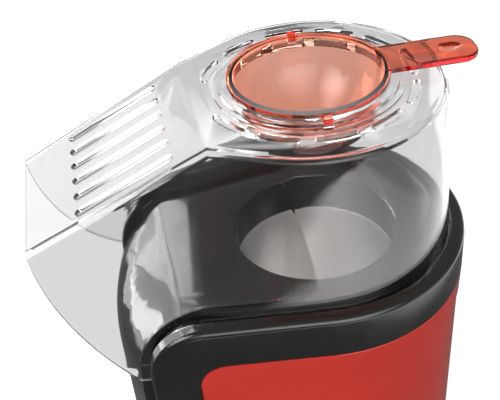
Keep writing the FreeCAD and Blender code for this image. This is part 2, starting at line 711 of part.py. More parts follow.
def make_screws(places, head_low, tip, head_up):
    """Group of like screws, with the head above or below the shank."""
    screws = []
    for x, y in places:
        head = cylinder(SCREW_HEAD_RADIUS, head_low, head_low + SCREW_HEAD_HEIGHT, x, y)
        edge_level = head_low + SCREW_HEAD_HEIGHT if head_up else head_low
        rim = [edge for edge in head.Edges if abs(edge.BoundBox.ZMin - edge_level) < TINY
               and edge.BoundBox.ZLength < TINY]
        head = head.makeChamfer(SCREW_HEAD_HEIGHT / 3, rim)
        middle = head_low + SCREW_HEAD_HEIGHT / 2
        shank = cylinder(SCREW_RADIUS, min(middle, tip), max(middle, tip), x, y)
        screws.append(joined([head, shank]))
    return Part.makeCompound(screws)


def make_popping_chamber():
    """Spun metal pan with a flange, a coned floor and slanted air louvres low in its wall."""
    def revolve(radius, floor, corner, top):
        corner_mid = corner * (1 - math.sqrt(0.5))
        edges = [
            segment(0, top, 0, floor + CHAMBER_CONE_HEIGHT),
            segment(0, floor + CHAMBER_CONE_HEIGHT, radius - corner - CHAMBER_CONE_HEIGHT, floor),
            segment(radius - corner - CHAMBER_CONE_HEIGHT, floor, radius - corner, floor),
            Part.Arc(Vector(radius - corner, 0, floor), Vector(radius - corner_mid, 0, floor + corner_mid),
                     Vector(radius, 0, floor + corner)).toShape(),
            segment(radius, floor + corner, radius, top),
            segment(radius, top, 0, top),
        ]
        return Part.Face(Part.Wire(edges)).revolve(Vector(0, 0, 0), Vector(0, 0, 1), 360)

    flange = cylinder(FLANGE_RADIUS, CHAMBER_TOP - CHAMBER_WALL, CHAMBER_TOP)
    outside = revolve(CHAMBER_OUTER, CHAMBER_FLOOR, CHAMBER_CORNER + CHAMBER_WALL, CHAMBER_TOP)
    inside = revolve(CHAMBER_RADIUS, CHAMBER_FLOOR + CHAMBER_WALL, CHAMBER_CORNER, CHAMBER_TOP + OVERCUT)
    pan = joined([outside, flange]).cut(inside)
    middle = CHAMBER_FLOOR + CHAMBER_CORNER + LOUVRE_LIFT
    reach = 2 * OVERCUT
    half_y = LOUVRE_WIDTH / 2
    half_z = LOUVRE_HEIGHT / 2
    slot = box((-reach, reach), (-half_y, half_y), (-half_z, half_z))
    slot.rotate(Vector(0, 0, 0), Vector(1, 0, 0), LOUVRE_TILT)
    slot.translate(Vector(CHAMBER_RADIUS, 0, middle))
    cuts = [turned(slot, 360.0 * index / LOUVRE_COUNT) for index in range(LOUVRE_COUNT)]
    for x, y in round_places(4, CHAMBER_SCREW_CIRCLE, 45):
        cuts.append(cylinder(SCREW_PASS_RADIUS, CHAMBER_TOP - OVERCUT, CHAMBER_TOP + OVERCUT, x, y))
    return pan.cut(cuts)


def make_chamber_gasket():
    """Flat heat-proof ring between the mouth ring and the chamber's flange."""
    return tube(MOUTH_RADIUS + MOUTH_WALL, MOUTH_RADIUS, CHAMBER_TOP, MOUTH_LOW)


def make_heater_shroud():
    """Sheet-metal cylinder round the chamber with a flange at each end."""
    top = CHAMBER_TOP - CHAMBER_WALL
    wall = tube(SHROUD_OUTER, SHROUD_INNER, FAN_TOP, top)
    low_flange = tube(BASE_FLANGE_RADIUS, SHROUD_INNER, FAN_TOP, FAN_TOP + SHROUD_WALL)
    top_flange = tube(FLANGE_RADIUS, SHROUD_INNER, top - SHROUD_WALL, top)
    cuts = []
    for x, y in round_places(4, CHAMBER_SCREW_CIRCLE, 45):
        cuts.append(cylinder(SCREW_PASS_RADIUS, top - OVERCUT, top + OVERCUT, x, y))
    for x, y in round_places(4, SHROUD_SCREW_CIRCLE):
        cuts.append(cylinder(SCREW_PASS_RADIUS, FAN_TOP - OVERCUT, FAN_TOP + OVERCUT, x, y))
    return joined([wall, low_flange, top_flange]).cut(cuts)


def make_heater_frame():
    """Two mica boards crossed by half-lap notches, standing on the fan housing's ledge."""
    length = SHROUD_INNER - MICA_END_GAP
    half = MICA_THICKNESS / 2
    middle = FAN_TOP + MICA_HEIGHT / 2
    along = box((-length, length), (-half, half), (FAN_TOP, FAN_TOP + MICA_HEIGHT))
    across = box((-half, half), (-length, length), (FAN_TOP, FAN_TOP + MICA_HEIGHT))
    core = box((-half, half), (-half, half), (middle, FAN_TOP + MICA_HEIGHT))
    low_core = box((-half, half), (-half, half), (FAN_TOP, middle))
    return Part.makeCompound([along.cut(core), across.cut(low_core)])


def make_heater_coil():
    """Flat spiral of heating wire made of half turns that each grow by half a pitch."""
    level = FAN_TOP + MICA_HEIGHT + COIL_WIRE_RADIUS + COIL_REST_GAP
    start_x = COIL_INNER_RADIUS
    side = -1
    radius = COIL_INNER_RADIUS
    turns = []
    for _ in range(COIL_HALF_TURNS):
        section = Part.Face(Part.Wire(Part.makeCircle(
            COIL_WIRE_RADIUS, Vector(start_x, 0, level), Vector(0, 1, 0))))
        centre_x = start_x + side * radius
        turns.append(section.revolve(Vector(centre_x, 0, level), Vector(0, 0, 1), 180))
        start_x = centre_x + side * radius
        side = -side
        radius += COIL_PITCH / 2
    print("heating wire least gap", COIL_PITCH - 2 * COIL_WIRE_RADIUS)
    return joined(turns)


def make_thermostat():
    """Round cut-out switch that sits on the shroud's wall on the chute side."""
    start = Vector(-SHROUD_INNER, 0, FAN_TOP + THERMOSTAT_LIFT)
    body = Part.makeCylinder(THERMOSTAT_RADIUS, THERMOSTAT_HEIGHT, start, Vector(-1, 0, 0))
    tab_reach = (start.x - THERMOSTAT_HEIGHT - TAB_LENGTH, start.x - THERMOSTAT_HEIGHT / 2)
    tab_levels = (start.z - TAB_HALF_THICKNESS, start.z + TAB_HALF_THICKNESS)
    tabs = [
        box(tab_reach, (y - TAB_HALF_WIDTH, y + TAB_HALF_WIDTH), tab_levels)
        for y in (-TAB_HALF_SPACING, TAB_HALF_SPACING)
    ]
    return joined([body] + tabs).cut(cylinder(SHROUD_OUTER, 0, FAR))


def make_thermal_fuse():
    """Small cylindrical fuse in a saddle on the shroud's wall."""
    low = FAN_TOP + THERMOSTAT_LIFT - FUSE_LENGTH / 2
    centre = SHROUD_OUTER + FUSE_RADIUS + FUSE_SADDLE_WALL
    body = cylinder(FUSE_RADIUS, low, low + FUSE_LENGTH, centre)
    saddle_levels = (low + FUSE_SADDLE_INSET, low + FUSE_LENGTH - FUSE_SADDLE_INSET)
    saddle = box((SHROUD_INNER, centre), (-FUSE_RADIUS, FUSE_RADIUS), saddle_levels)
    fuse = joined([body, saddle]).cut(cylinder(SHROUD_OUTER, 0, FAR))
    return turned(fuse, FUSE_ANGLE)


def make_fan_housing():
    """Round blower housing that carries the motor below and the heater shroud above."""
    floor_top = FAN_LOW + FAN_HOUSING_WALL
    ledge_low = FAN_TOP - FAN_HOUSING_WALL
    wall = tube(FAN_OUTER, FAN_INNER, FAN_LOW, FAN_TOP)
    floor = cylinder(FAN_OUTER, FAN_LOW, floor_top)
    ledge = tube(FAN_OUTER, SHROUD_INNER - MICA_LEDGE, ledge_low, FAN_TOP)
    pieces = [wall, floor, ledge]
    cuts = [cylinder(BUSH_RADIUS, 0, floor_top + OVERCUT)]
    for x, y in round_places(4, FAN_EAR_CIRCLE, 45):
        pieces.append(cylinder(FAN_EAR_RADIUS, FAN_LOW, floor_top, x, y))
        cuts.append(cylinder(SCREW_PASS_RADIUS, 0, floor_top + OVERCUT, x, y))
    for x, y in round_places(4, SHROUD_SCREW_CIRCLE):
        pieces.append(cylinder(FAN_EAR_RADIUS, FAN_TOP - SCREW_GRIP, FAN_TOP, x, y))
        cuts.append(cylinder(SCREW_RADIUS, FAN_TOP - SCREW_GRIP - OVERCUT, FAN_TOP + OVERCUT, x, y))
    for x, y in round_places(2, MOTOR_SCREW_CIRCLE):
        cuts.append(cylinder(SCREW_PASS_RADIUS, 0, floor_top + OVERCUT, x, y))
    spokes = [
        box((-FAN_OUTER, FAN_OUTER), (-INTAKE_SPOKE_WIDTH / 2, INTAKE_SPOKE_WIDTH / 2), (0, FAR)),
        box((-INTAKE_SPOKE_WIDTH / 2, INTAKE_SPOKE_WIDTH / 2), (-FAN_OUTER, FAN_OUTER), (0, FAR)),
    ]
    intake = tube(
        INTAKE_OUTER_RADIUS, MOTOR_RADIUS + INTAKE_INNER_MARGIN, FAN_LOW - OVERCUT, floor_top + OVERCUT)
    cuts.append(intake.cut(spokes))
    inside = cylinder(FAN_INNER, floor_top, ledge_low)
    return joined(pieces).cut(cuts + [inside])


def blade_outline(level):
    """Plan of one blade, an arc swept back from root to tip."""
    tip = IMPELLER_RADIUS - BLADE_TIP_INSET
    tip_angle = -math.radians(BLADE_SWEEP)

    def at(radius, angle):
        return Vector(radius * math.cos(angle), radius * math.sin(angle), level)

    stations = [
        at(BLADE_ROOT_RADIUS, 0),
        at((BLADE_ROOT_RADIUS + tip) / 2, tip_angle * BLADE_BEND_SHARE),
        at(tip, tip_angle),
    ]
    spine = Part.Arc(stations[0], stations[1], stations[2]).toShape().Curve

    def offset(point, distance):
        outward = point.sub(spine.Center)
        return spine.Center.add(outward.multiply((spine.Radius + distance) / spine.Radius))

    near = [offset(point, -BLADE_WALL / 2) for point in stations]
    far = [offset(point, BLADE_WALL / 2) for point in stations]
    edges = [
        Part.Arc(near[0], near[1], near[2]).toShape(),
        Part.LineSegment(near[2], far[2]).toShape(),
        Part.Arc(far[2], far[1], far[0]).toShape(),
        Part.LineSegment(far[0], near[0]).toShape(),
    ]
    return Part.Face(Part.Wire(edges))


def make_fan_impeller():
    """Blower wheel with a top plate, swept blades, a lower shroud ring and a hub."""
    plate_low = IMPELLER_TOP - IMPELLER_PLATE
    plate = cylinder(IMPELLER_RADIUS, plate_low, IMPELLER_TOP)
    ring = tube(IMPELLER_RADIUS, IMPELLER_EYE_RADIUS, IMPELLER_LOW, IMPELLER_LOW + IMPELLER_PLATE)
    hub = cylinder(IMPELLER_HUB_RADIUS, IMPELLER_LOW, IMPELLER_TOP)
    blade = blade_outline(IMPELLER_LOW).extrude(Vector(0, 0, IMPELLER_HEIGHT - IMPELLER_PLATE / 2))
    blades = [turned(blade, 360.0 * index / BLADE_COUNT) for index in range(BLADE_COUNT)]
    wheel = joined([plate, ring, hub] + blades)
    return wheel.cut(cylinder(SHAFT_RADIUS, 0, FAR))


def make_fan_nut():
    """Hexagon nut that holds the wheel on the shaft."""
    corner = FAN_NUT_WIDTH / math.sqrt(3)
    points = [Vector(x, y, IMPELLER_TOP) for x, y in round_places(6, corner)]
    nut = Part.Face(Part.makePolygon(points + [points[0]])).extrude(Vector(0, 0, FAN_NUT_HEIGHT))
    return nut.cut(cylinder(SHAFT_RADIUS, 0, FAR))


def make_motor_can():
    """Drawn steel can, closed at the top."""
    low = MOTOR_LOW + MOTOR_CAP_HEIGHT
    can = cylinder(MOTOR_RADIUS, low, FAN_LOW)
    cuts = [
        cylinder(MOTOR_RADIUS - MOTOR_CAN_WALL, low - OVERCUT, FAN_LOW - MOTOR_CAN_WALL),
        cylinder(BUSH_RADIUS, low, FAN_LOW + OVERCUT),
    ]
    for x, y in round_places(2, MOTOR_SCREW_CIRCLE):
        cuts.append(cylinder(SCREW_RADIUS, low, FAN_LOW + OVERCUT, x, y))
    return can.cut(cuts)


def make_motor_end_cap():
    """Moulded cap that closes the can and carries the lower bush."""
    cap = cylinder(MOTOR_RADIUS, MOTOR_LOW, MOTOR_LOW + MOTOR_CAP_HEIGHT)
    return cap.cut(cylinder(BUSH_RADIUS, 0, FAR))


def make_motor_bushes():
    """Two plain bushes that carry the shaft."""
    bore = SHAFT_RADIUS + SHAFT_RUN_CLEARANCE
    return Part.makeCompound([
        tube(BUSH_RADIUS, bore, MOTOR_LOW, MOTOR_LOW + BUSH_HEIGHT),
        tube(BUSH_RADIUS, bore, FAN_LOW - BUSH_HEIGHT, FAN_LOW),
    ])


def magnet_low():
    """Lower level of magnets and armature, centred in the can."""
    inner_low = MOTOR_LOW + MOTOR_CAP_HEIGHT + COMMUTATOR_HEIGHT
    return (inner_low + FAN_LOW - BUSH_HEIGHT - MAGNET_LENGTH) / 2


def make_motor_magnets():
    """Two curved magnets on the inside of the can."""
    outer = MOTOR_RADIUS - MOTOR_CAN_WALL
    magnet = sector(outer, outer - MAGNET_WALL, MAGNET_SPAN, magnet_low(), magnet_low() + MAGNET_LENGTH)
    return Part.makeCompound([magnet, turned(magnet, 180)])


def commutator_low():
    """Level just above the end cap's bush."""
    return MOTOR_LOW + MOTOR_CAP_HEIGHT + BRUSH_GAP


def make_motor_brushes():
    """Two carbon brushes standing on the end cap beside the commutator."""
    start = COMMUTATOR_RADIUS + BRUSH_GAP
    low = MOTOR_LOW + MOTOR_CAP_HEIGHT
    half_y = BRUSH_WIDTH / 2
    brush = box((start, start + BRUSH_LENGTH), (-half_y, half_y), (low, low + COMMUTATOR_HEIGHT))
    return Part.makeCompound([turned(brush, 90), turned(brush, 270)])


def make_motor_shaft():
    """Steel shaft from the lower bush to the fan nut."""
    return cylinder(SHAFT_RADIUS, MOTOR_LOW - SHAFT_TAIL, SHAFT_TOP)


def armature_radius():
    """Outer radius of the pole shoes."""
    return MOTOR_RADIUS - MOTOR_CAN_WALL - MAGNET_WALL - ARMATURE_GAP


def make_armature():
    """Laminated core with its pole arms and curved shoes."""
    low = magnet_low()
    high = low + MAGNET_LENGTH
    outer = armature_radius()
    arm = box((0, outer - POLE_SHOE_WALL / 2), (-POLE_WIDTH / 2, POLE_WIDTH / 2), (low, high))
    shoe = sector(outer, outer - POLE_SHOE_WALL, POLE_SHOE_SPAN, low, high)
    pieces = [cylinder(ARMATURE_CORE_RADIUS, low, high)]
    for index in range(ARMATURE_POLES):
        angle = 360.0 * index / ARMATURE_POLES
        pieces.extend([turned(arm, angle), turned(shoe, angle)])
    return joined(pieces).cut(cylinder(SHAFT_RADIUS, 0, FAR))


def make_armature_windings():
    """Copper winding round each pole arm."""
    low = magnet_low() - WINDING_OVERHANG
    high = magnet_low() + MAGNET_LENGTH + WINDING_OVERHANG
    half = POLE_WIDTH / 2
    reach = (ARMATURE_CORE_RADIUS + WINDING_GAP, armature_radius() - POLE_SHOE_WALL - WINDING_GAP)
    block = box(reach, (-half - WINDING_WALL, half + WINDING_WALL), (low, high))
    window = box((0, FAR), (-half, half), (magnet_low(), magnet_low() + MAGNET_LENGTH))
    shoe_room = cylinder(reach[1], 0, FAR)
    winding = block.common(shoe_room).cut(window)
    angles = [360.0 * index / ARMATURE_POLES for index in range(ARMATURE_POLES)]
    return Part.makeCompound([turned(winding, angle) for angle in angles])


def make_commutator():
    """Copper collar on the shaft between the lower bush and the armature."""
    return tube(COMMUTATOR_RADIUS, SHAFT_RADIUS, commutator_low(), magnet_low())


def make_rectifier_board():
    """Small circuit board on four posts behind the motor."""
    low = BASE_TOP + BOARD_LIFT
    return box((board_start(), board_start() + BOARD_LENGTH), (-BOARD_WIDTH / 2, BOARD_WIDTH / 2),
               (low, low + BOARD_THICKNESS))


def make_rectifier_diodes():
    """Four diodes lying side by side on the board."""
    level = BASE_TOP + BOARD_LIFT + BOARD_THICKNESS + DIODE_GAP + DIODE_RADIUS
    start = board_start() + (BOARD_LENGTH - DIODE_LENGTH) / 2
    diodes = []
    for index in range(4):
        y = (index - 1.5) * DIODE_PITCH
        place = Vector(start, y, level)
        diodes.append(Part.makeCylinder(DIODE_RADIUS, DIODE_LENGTH, place, Vector(1, 0, 0)))
    return Part.makeCompound(diodes)


def bezel_back():
    """Where the switch bezel meets the red shell."""
    return shell_radius(switch_level()) + BEZEL_SEAT_GAP


def rocker_pivot():
    """Axis of the rocker behind the bezel's face."""
    return Vector(bezel_back() + BEZEL_THICKNESS - ROCKER_SET_BACK, 0, switch_level())


def make_switch_body():
    """Switch case with bezel, open at the back of the rocker and bored for its pins."""
    back = bezel_back()
    level = switch_level()
    front = back + BEZEL_THICKNESS
    half_y = SWITCH_HALF_WIDTH
    half_z = SWITCH_HALF_HEIGHT
    case = box((back - SWITCH_DEPTH, front), (-half_y, half_y), (level - half_z, level + half_z))
    bezel_y = half_y + BEZEL_MARGIN
    bezel_z = half_z + BEZEL_MARGIN
    bezel = box((back, front), (-bezel_y, bezel_y), (level - bezel_z, level + bezel_z))
    corners = [edge for edge in bezel.Edges if edge.BoundBox.XLength > 1.0]
    bezel = bezel.makeFillet(BEZEL_MARGIN, corners)
    room_y = half_y - SWITCH_WALL
    room_z = half_z - SWITCH_WALL
    room_back = back - SWITCH_DEPTH + SWITCH_WALL
    room = box((room_back, FAR), (-room_y, room_y), (level - room_z, level + room_z))
    pivot = rocker_pivot()
    pin_start = Vector(pivot.x, -half_y, pivot.z)
    pin_bore = ROCKER_PIN_RADIUS + SHAFT_RUN_CLEARANCE
    pins = Part.makeCylinder(pin_bore, 2 * half_y, pin_start, Vector(0, 1, 0))
    return joined([case, bezel]).cut([room, pins])


def make_rocker_button():
    """Rocker with two shallow faces, tilted to its off position."""
    pivot = rocker_pivot()
    half_z = SWITCH_HALF_HEIGHT - SWITCH_WALL - 2 * ROCKER_CLEARANCE
    half_y = SWITCH_HALF_WIDTH - SWITCH_WALL - ROCKER_CLEARANCE
    edge_x = ROCKER_CREST - half_z * math.tan(math.radians(ROCKER_TILT))
    outline = [
        (ROCKER_CREST, 0), (edge_x, half_z), (-ROCKER_BACK / 3, half_z), (-ROCKER_BACK, half_z / 2),
        (-ROCKER_BACK, -half_z / 2), (-ROCKER_BACK / 3, -half_z), (edge_x, -half_z), (ROCKER_CREST, 0),
    ]
    points = [Vector(pivot.x + x, -half_y, pivot.z + z) for x, z in outline]
    paddle = Part.Face(Part.makePolygon(points)).extrude(Vector(0, 2 * half_y, 0))
    pin_start = Vector(pivot.x, -SWITCH_HALF_WIDTH, pivot.z)
    pin = Part.makeCylinder(ROCKER_PIN_RADIUS, 2 * SWITCH_HALF_WIDTH, pin_start, Vector(0, 1, 0))
    rocker = joined([paddle, pin])
    rocker.rotate(pivot, Vector(0, 1, 0), -ROCKER_TILT)
    return rocker


def make_cord_gland():
    """Round bush in the rear wall where the mains lead comes in."""
    level = BASE_TOP + GLAND_LIFT
    wall_x = shell_radius(level) + GLAND_SEAT_GAP
    along = Vector(1, 0, 0)
    inner_x = wall_x - SHELL_WALL - GLAND_TAIL
    body = Part.makeCylinder(GLAND_RADIUS, wall_x - inner_x, Vector(inner_x, 0, level), along)
    flange = Part.makeCylinder(GLAND_FLANGE_RADIUS, GLAND_FLANGE, Vector(wall_x, 0, level), along)
    outer_edge = [edge for edge in flange.Edges if edge.BoundBox.XMin > wall_x + GLAND_FLANGE - TINY]
    flange = flange.makeChamfer(GLAND_FLANGE / 2, outer_edge)
    bore = Part.makeCylinder(GLAND_BORE_RADIUS, FAR, Vector(0, 0, level), along)
    return joined([body, flange]).cut(bore)


def round_steps(inset):
    """Drops and insets of the short facets that round the hood's upper edges."""
    radius = COVER_EDGE_ROUND - inset
    angles = [math.pi / 2 * step / COVER_ROUND_STEPS for step in range(COVER_ROUND_STEPS + 1)]
    return [(radius * (1 - math.sin(angle)), radius * (1 - math.cos(angle))) for angle in angles]


def hood_radius(level):
    """Outer radius of the hood's round wall at a level."""
    return COVER_FOOT_RADIUS - COVER_LEAN * (level - TRAY_LEVEL) / COVER_HEIGHT


def break_half_width(level):
    """Half width of the hood at a level, where its roof breaks."""
    foot = half_width(COVER_FOOT_RADIUS, SIDE_TAPER, ROOF_BREAK_REACH)
    return foot - (foot - ROOF_BREAK_HALF_WIDTH) * (level - TRAY_LEVEL) / COVER_HEIGHT


def hood_section(inset, level):
    """Level outline of the round part: an arc, two straight sides and the line of the break."""
    radius = hood_radius(level) - inset
    end_half = break_half_width(level) - inset
    end_x = -ROOF_BREAK_REACH
    angle = math.atan2(end_half, end_x) - math.acos(radius / math.hypot(end_x, end_half))
    side_left = Vector(radius * math.cos(angle), radius * math.sin(angle), level)
    side_right = Vector(side_left.x, -side_left.y, level)
    end_left = Vector(end_x, end_half, level)
    end_right = Vector(end_x, -end_half, level)
    edges = [
        Part.Arc(side_right, Vector(radius, 0, level), side_left).toShape(),
        Part.LineSegment(side_left, end_left).toShape(),
        Part.LineSegment(end_left, end_right).toShape(),
        Part.LineSegment(end_right, side_right).toShape(),
    ]
    return Part.Wire(edges)


def hood_round(inset):
    """Round part of the hood between the groove and its flat top."""
    sections = [hood_section(inset, TRAY_LEVEL)]
    for drop, round_inset in round_steps(inset):
        sections.append(hood_section(inset + round_inset, COVER_TOP - inset - drop))
    return Part.makeLoft(sections, True, True)


def chute_low_width(reach, low):
    """Half width of the chute's side wall at the lowest level, set by the chute's tip in the groove."""
    start = break_half_width(low)
    tip_width = half_width(COVER_FOOT_RADIUS, SIDE_TAPER, TIP_REACH)
    tip_run = TIP_REACH - ROOF_BREAK_REACH
    share = tip_run / (CHUTE_LIP_REACH - ROOF_BREAK_REACH)
    roof_width = ROOF_BREAK_HALF_WIDTH + share * (CHUTE_LIP_HALF_WIDTH - ROOF_BREAK_HALF_WIDTH)
    roof = COVER_TOP - tip_run * math.tan(ROOF_SLOPE)
    rise = (TRAY_LEVEL - CHUTE_TIP_DROP - low) / (roof - low)
    tip_low = (tip_width - rise * roof_width) / (1 - rise)
    return start + (tip_low - start) * (reach - ROOF_BREAK_REACH) / tip_run


def chute_section(reach, inset):
    """Upright outline of the chute with its rounded upper corners."""
    low = TRAY_LEVEL - CHUTE_TIP_DROP - OVERCUT
    run = reach - ROOF_BREAK_REACH
    roof = COVER_TOP - run * math.tan(ROOF_SLOPE)
    share = run / (CHUTE_LIP_REACH - ROOF_BREAK_REACH)
    roof_width = ROOF_BREAK_HALF_WIDTH + share * (CHUTE_LIP_HALF_WIDTH - ROOF_BREAK_HALF_WIDTH)
    low_width = chute_low_width(reach, low)
    lean = (low_width - roof_width) / (roof - low)
    right = [(low_width - inset, low)]
    for drop, round_inset in round_steps(inset):
        level = roof - inset - drop
        right.append((roof_width + lean * (roof - level) - inset - round_inset, level))
    left = [(-y, z) for y, z in reversed(right)]
    points = [Vector(-reach, y, z) for y, z in right + left]
    return Part.makePolygon(points + points[:1])


def hood_chute(inset):
    """Chute part of the hood, a gently twisted wall on each side and a flat sloping roof."""
    sections = [chute_section(ROOF_BREAK_REACH, inset), chute_section(PLAN_REACH, inset)]
    return Part.makeLoft(sections, True, True)


def hood_form(inset):
    """Filled form of the hood."""
    return hood_round(inset).fuse(hood_chute(inset)).removeSplitter()


def hood_side_limits():
    """Side outline that trims the hood to its foot in the groove and to the chute's curved mouth."""
    foot = TRAY_LEVEL + FOOT_CLEARANCE
    radius = GROOVE_BEND_RADIUS + FOOT_CLEARANCE
    centre_z = foot - radius
    heel_x = -BEND_REACH - radius
    lip = Vector(-CHUTE_LIP_REACH, 0, TRAY_LEVEL + CHUTE_LIP_HEIGHT)
    tip = Vector(-TIP_REACH, 0, TRAY_LEVEL - CHUTE_TIP_DROP)
    chord = tip.sub(lip)
    outward = Vector(chord.z, 0, -chord.x)
    outward.normalize()
    middle = lip.add(tip).multiply(0.5).add(outward.multiply(CHUTE_MOUTH_BOW))
    edges = [
        segment(FAR, foot, FAR, 2 * COVER_TOP),
        segment(FAR, 2 * COVER_TOP, lip.x, 2 * COVER_TOP),
        segment(lip.x, 2 * COVER_TOP, lip.x, lip.z),
        Part.Arc(lip, middle, tip).toShape(),
        segment(tip.x, tip.z, heel_x, tip.z),
        segment(heel_x, tip.z, heel_x, centre_z),
        quarter_arc(-BEND_REACH, centre_z, radius, 180, 90),
        segment(-BEND_REACH, foot, FAR, foot),
    ]
    return side_extrusion(edges)


def roof_slots():
    """Long slots that run down the sloped roof."""
    half = ROOF_SLOT_LENGTH / 2
    radius = ROOF_SLOT_WIDTH / 2
    depth = 3 * COVER_WALL
    middle = ROOF_SLOT_START + half
    place = Vector(
        -ROOF_BREAK_REACH - middle * math.cos(ROOF_SLOPE), 0, COVER_TOP - middle * math.sin(ROOF_SLOPE))
    slots = []
    for index in range(ROOF_SLOT_COUNT):
        y = (index - (ROOF_SLOT_COUNT - 1) / 2) * ROOF_SLOT_PITCH
        ends = (-half + radius, half - radius)
        slot = box(ends, (y - radius, y + radius), (-depth, depth))
        slot = slot.fuse([cylinder(radius, -depth, depth, x, y) for x in ends])
        slot.rotate(Vector(0, 0, 0), Vector(0, 1, 0), -math.degrees(ROOF_SLOPE))
        slot.translate(place)
        slots.append(slot)
    return slots


def vent_slots(circle):
    """Curved vent slots round the cup seat, left out where the roof breaks."""
    low = COVER_TOP - 2 * COVER_WALL
    high = COVER_TOP + OVERCUT
    half = VENT_SLOT_WIDTH / 2
    slot = sector(circle + half, circle - half, VENT_SLOT_SPAN, low, high)
    end = math.radians(VENT_SLOT_SPAN / 2)
    end_x = circle * math.cos(end)
    end_y = circle * math.sin(end)
    slot = slot.fuse([cylinder(half, low, high, end_x, y) for y in (-end_y, end_y)])
    return [turned(slot, angle) for angle in range(0, 360, VENT_SLOT_STEP) if angle != 180]


def seat_bore():
    """Radius of the hole that the cup hangs in."""
    return CUP_RIM_RADIUS - SEAT_LEDGE


def make_clear_cover():
    """Clear hood with chute, slots and the raised seat of the cup."""
    shell = hood_form(0.0).cut(hood_form(COVER_WALL)).common(hood_side_limits())
    low = TRAY_LEVEL - CHUTE_TIP_DROP - OVERCUT
    groove_room = plan_prism(COVER_FOOT_RADIUS + TINY, SIDE_TAPER, PLAN_REACH, low, COVER_TOP + OVERCUT)
    shell = shell.common(groove_room)
    seat_outer = seat_bore() + SEAT_WIDTH
    step_outer = seat_outer + SEAT_STEP_WIDTH
    ring = cylinder(seat_outer, COVER_TOP - COVER_WALL, SEAT_TOP)
    step = cylinder(step_outer, COVER_TOP - COVER_WALL, COVER_TOP + SEAT_STEP_HEIGHT)
    cover = joined([shell, ring, step])
    half = LUG_WIDTH / 2 + LUG_CLEARANCE
    notch_low = CUP_UNDER_RIM - LUG_DROP - LUG_CLEARANCE
    notch = box((-half, half), (-FAR, FAR), (notch_low, SEAT_TOP + OVERCUT))
    notch_reach = CUP_RIM_RADIUS + LUG_LENGTH + LUG_CLEARANCE
    notch = turned(notch.common(cylinder(notch_reach, 0, FAR)), CUP_TURN)
    bore = cylinder(seat_bore(), COVER_TOP - 2 * COVER_WALL, SEAT_TOP + OVERCUT)
    vents = vent_slots(step_outer + VENT_RING_GAP - VENT_SLOT_WIDTH / 2)
    return cover.cut([bore, notch] + vents + roof_slots())


def bowl_form(bottom_radius, bottom, top_radius, top, collar):
    """Round bowl with a flat bottom, a wall that bulges outwards and a straight collar on top."""
    chord_x = top_radius - bottom_radius
    chord_z = top - bottom
    length = math.hypot(chord_x, chord_z)
    middle = Vector((bottom_radius + top_radius) / 2 + CUP_BULGE * chord_z / length, 0,
                    (bottom + top) / 2 - CUP_BULGE * chord_x / length)
    edges = [
        segment(0, bottom, bottom_radius, bottom),
        Part.Arc(Vector(bottom_radius, 0, bottom), middle, Vector(top_radius, 0, top)).toShape(),
        segment(top_radius, top, top_radius, top + collar),
        segment(top_radius, top + collar, 0, top + collar),
        segment(0, top + collar, 0, bottom),
    ]
    return Part.Face(Part.Wire(edges)).revolve(Vector(0, 0, 0), Vector(0, 0, 1), 360)


def cup_handle():
    """Flat handle with a raised pad that starts in a curve, a rounded end and a thumb hollow."""
    low = CUP_UNDER_RIM + CUP_REST_GAP
    high = low + HANDLE_THICKNESS
    bar = box((0, HANDLE_REACH), (-HANDLE_HALF_WIDTH, HANDLE_HALF_WIDTH), (low, high))
    tip = [edge for edge in bar.Edges
           if edge.BoundBox.ZLength > TINY and edge.BoundBox.XMin > HANDLE_REACH - TINY]
    bar = bar.makeFillet(HANDLE_TIP_ROUND, tip)
    rims = [edge for edge in bar.Edges
            if edge.BoundBox.ZLength < TINY and edge.BoundBox.XMax > HANDLE_REACH / 2]
    bar = bar.makeFillet(HANDLE_EDGE_ROUND, rims)
    pad_centre = CUP_RIM_RADIUS + HANDLE_PAD_GAP + HANDLE_PAD_RADIUS
    root_top = box((0, pad_centre), (-FAR, FAR), (high - HANDLE_PAD_STEP, high + OVERCUT))
    root_top = root_top.cut(cylinder(HANDLE_PAD_RADIUS, low, high + 2 * OVERCUT, pad_centre))
    thumb_level = high + THUMB_RADIUS - THUMB_DEPTH
    thumb_end = HANDLE_REACH - THUMB_INSET
    thumb_start = thumb_end - THUMB_LENGTH
    thumb_place = Vector(thumb_start, 0, thumb_level)
    thumb = Part.makeCylinder(THUMB_RADIUS, THUMB_LENGTH, thumb_place, Vector(1, 0, 0))
    ends = [Part.makeSphere(THUMB_RADIUS, Vector(x, 0, thumb_level)) for x in (thumb_start, thumb_end)]
    return bar.cut([root_top, thumb.fuse(ends)])


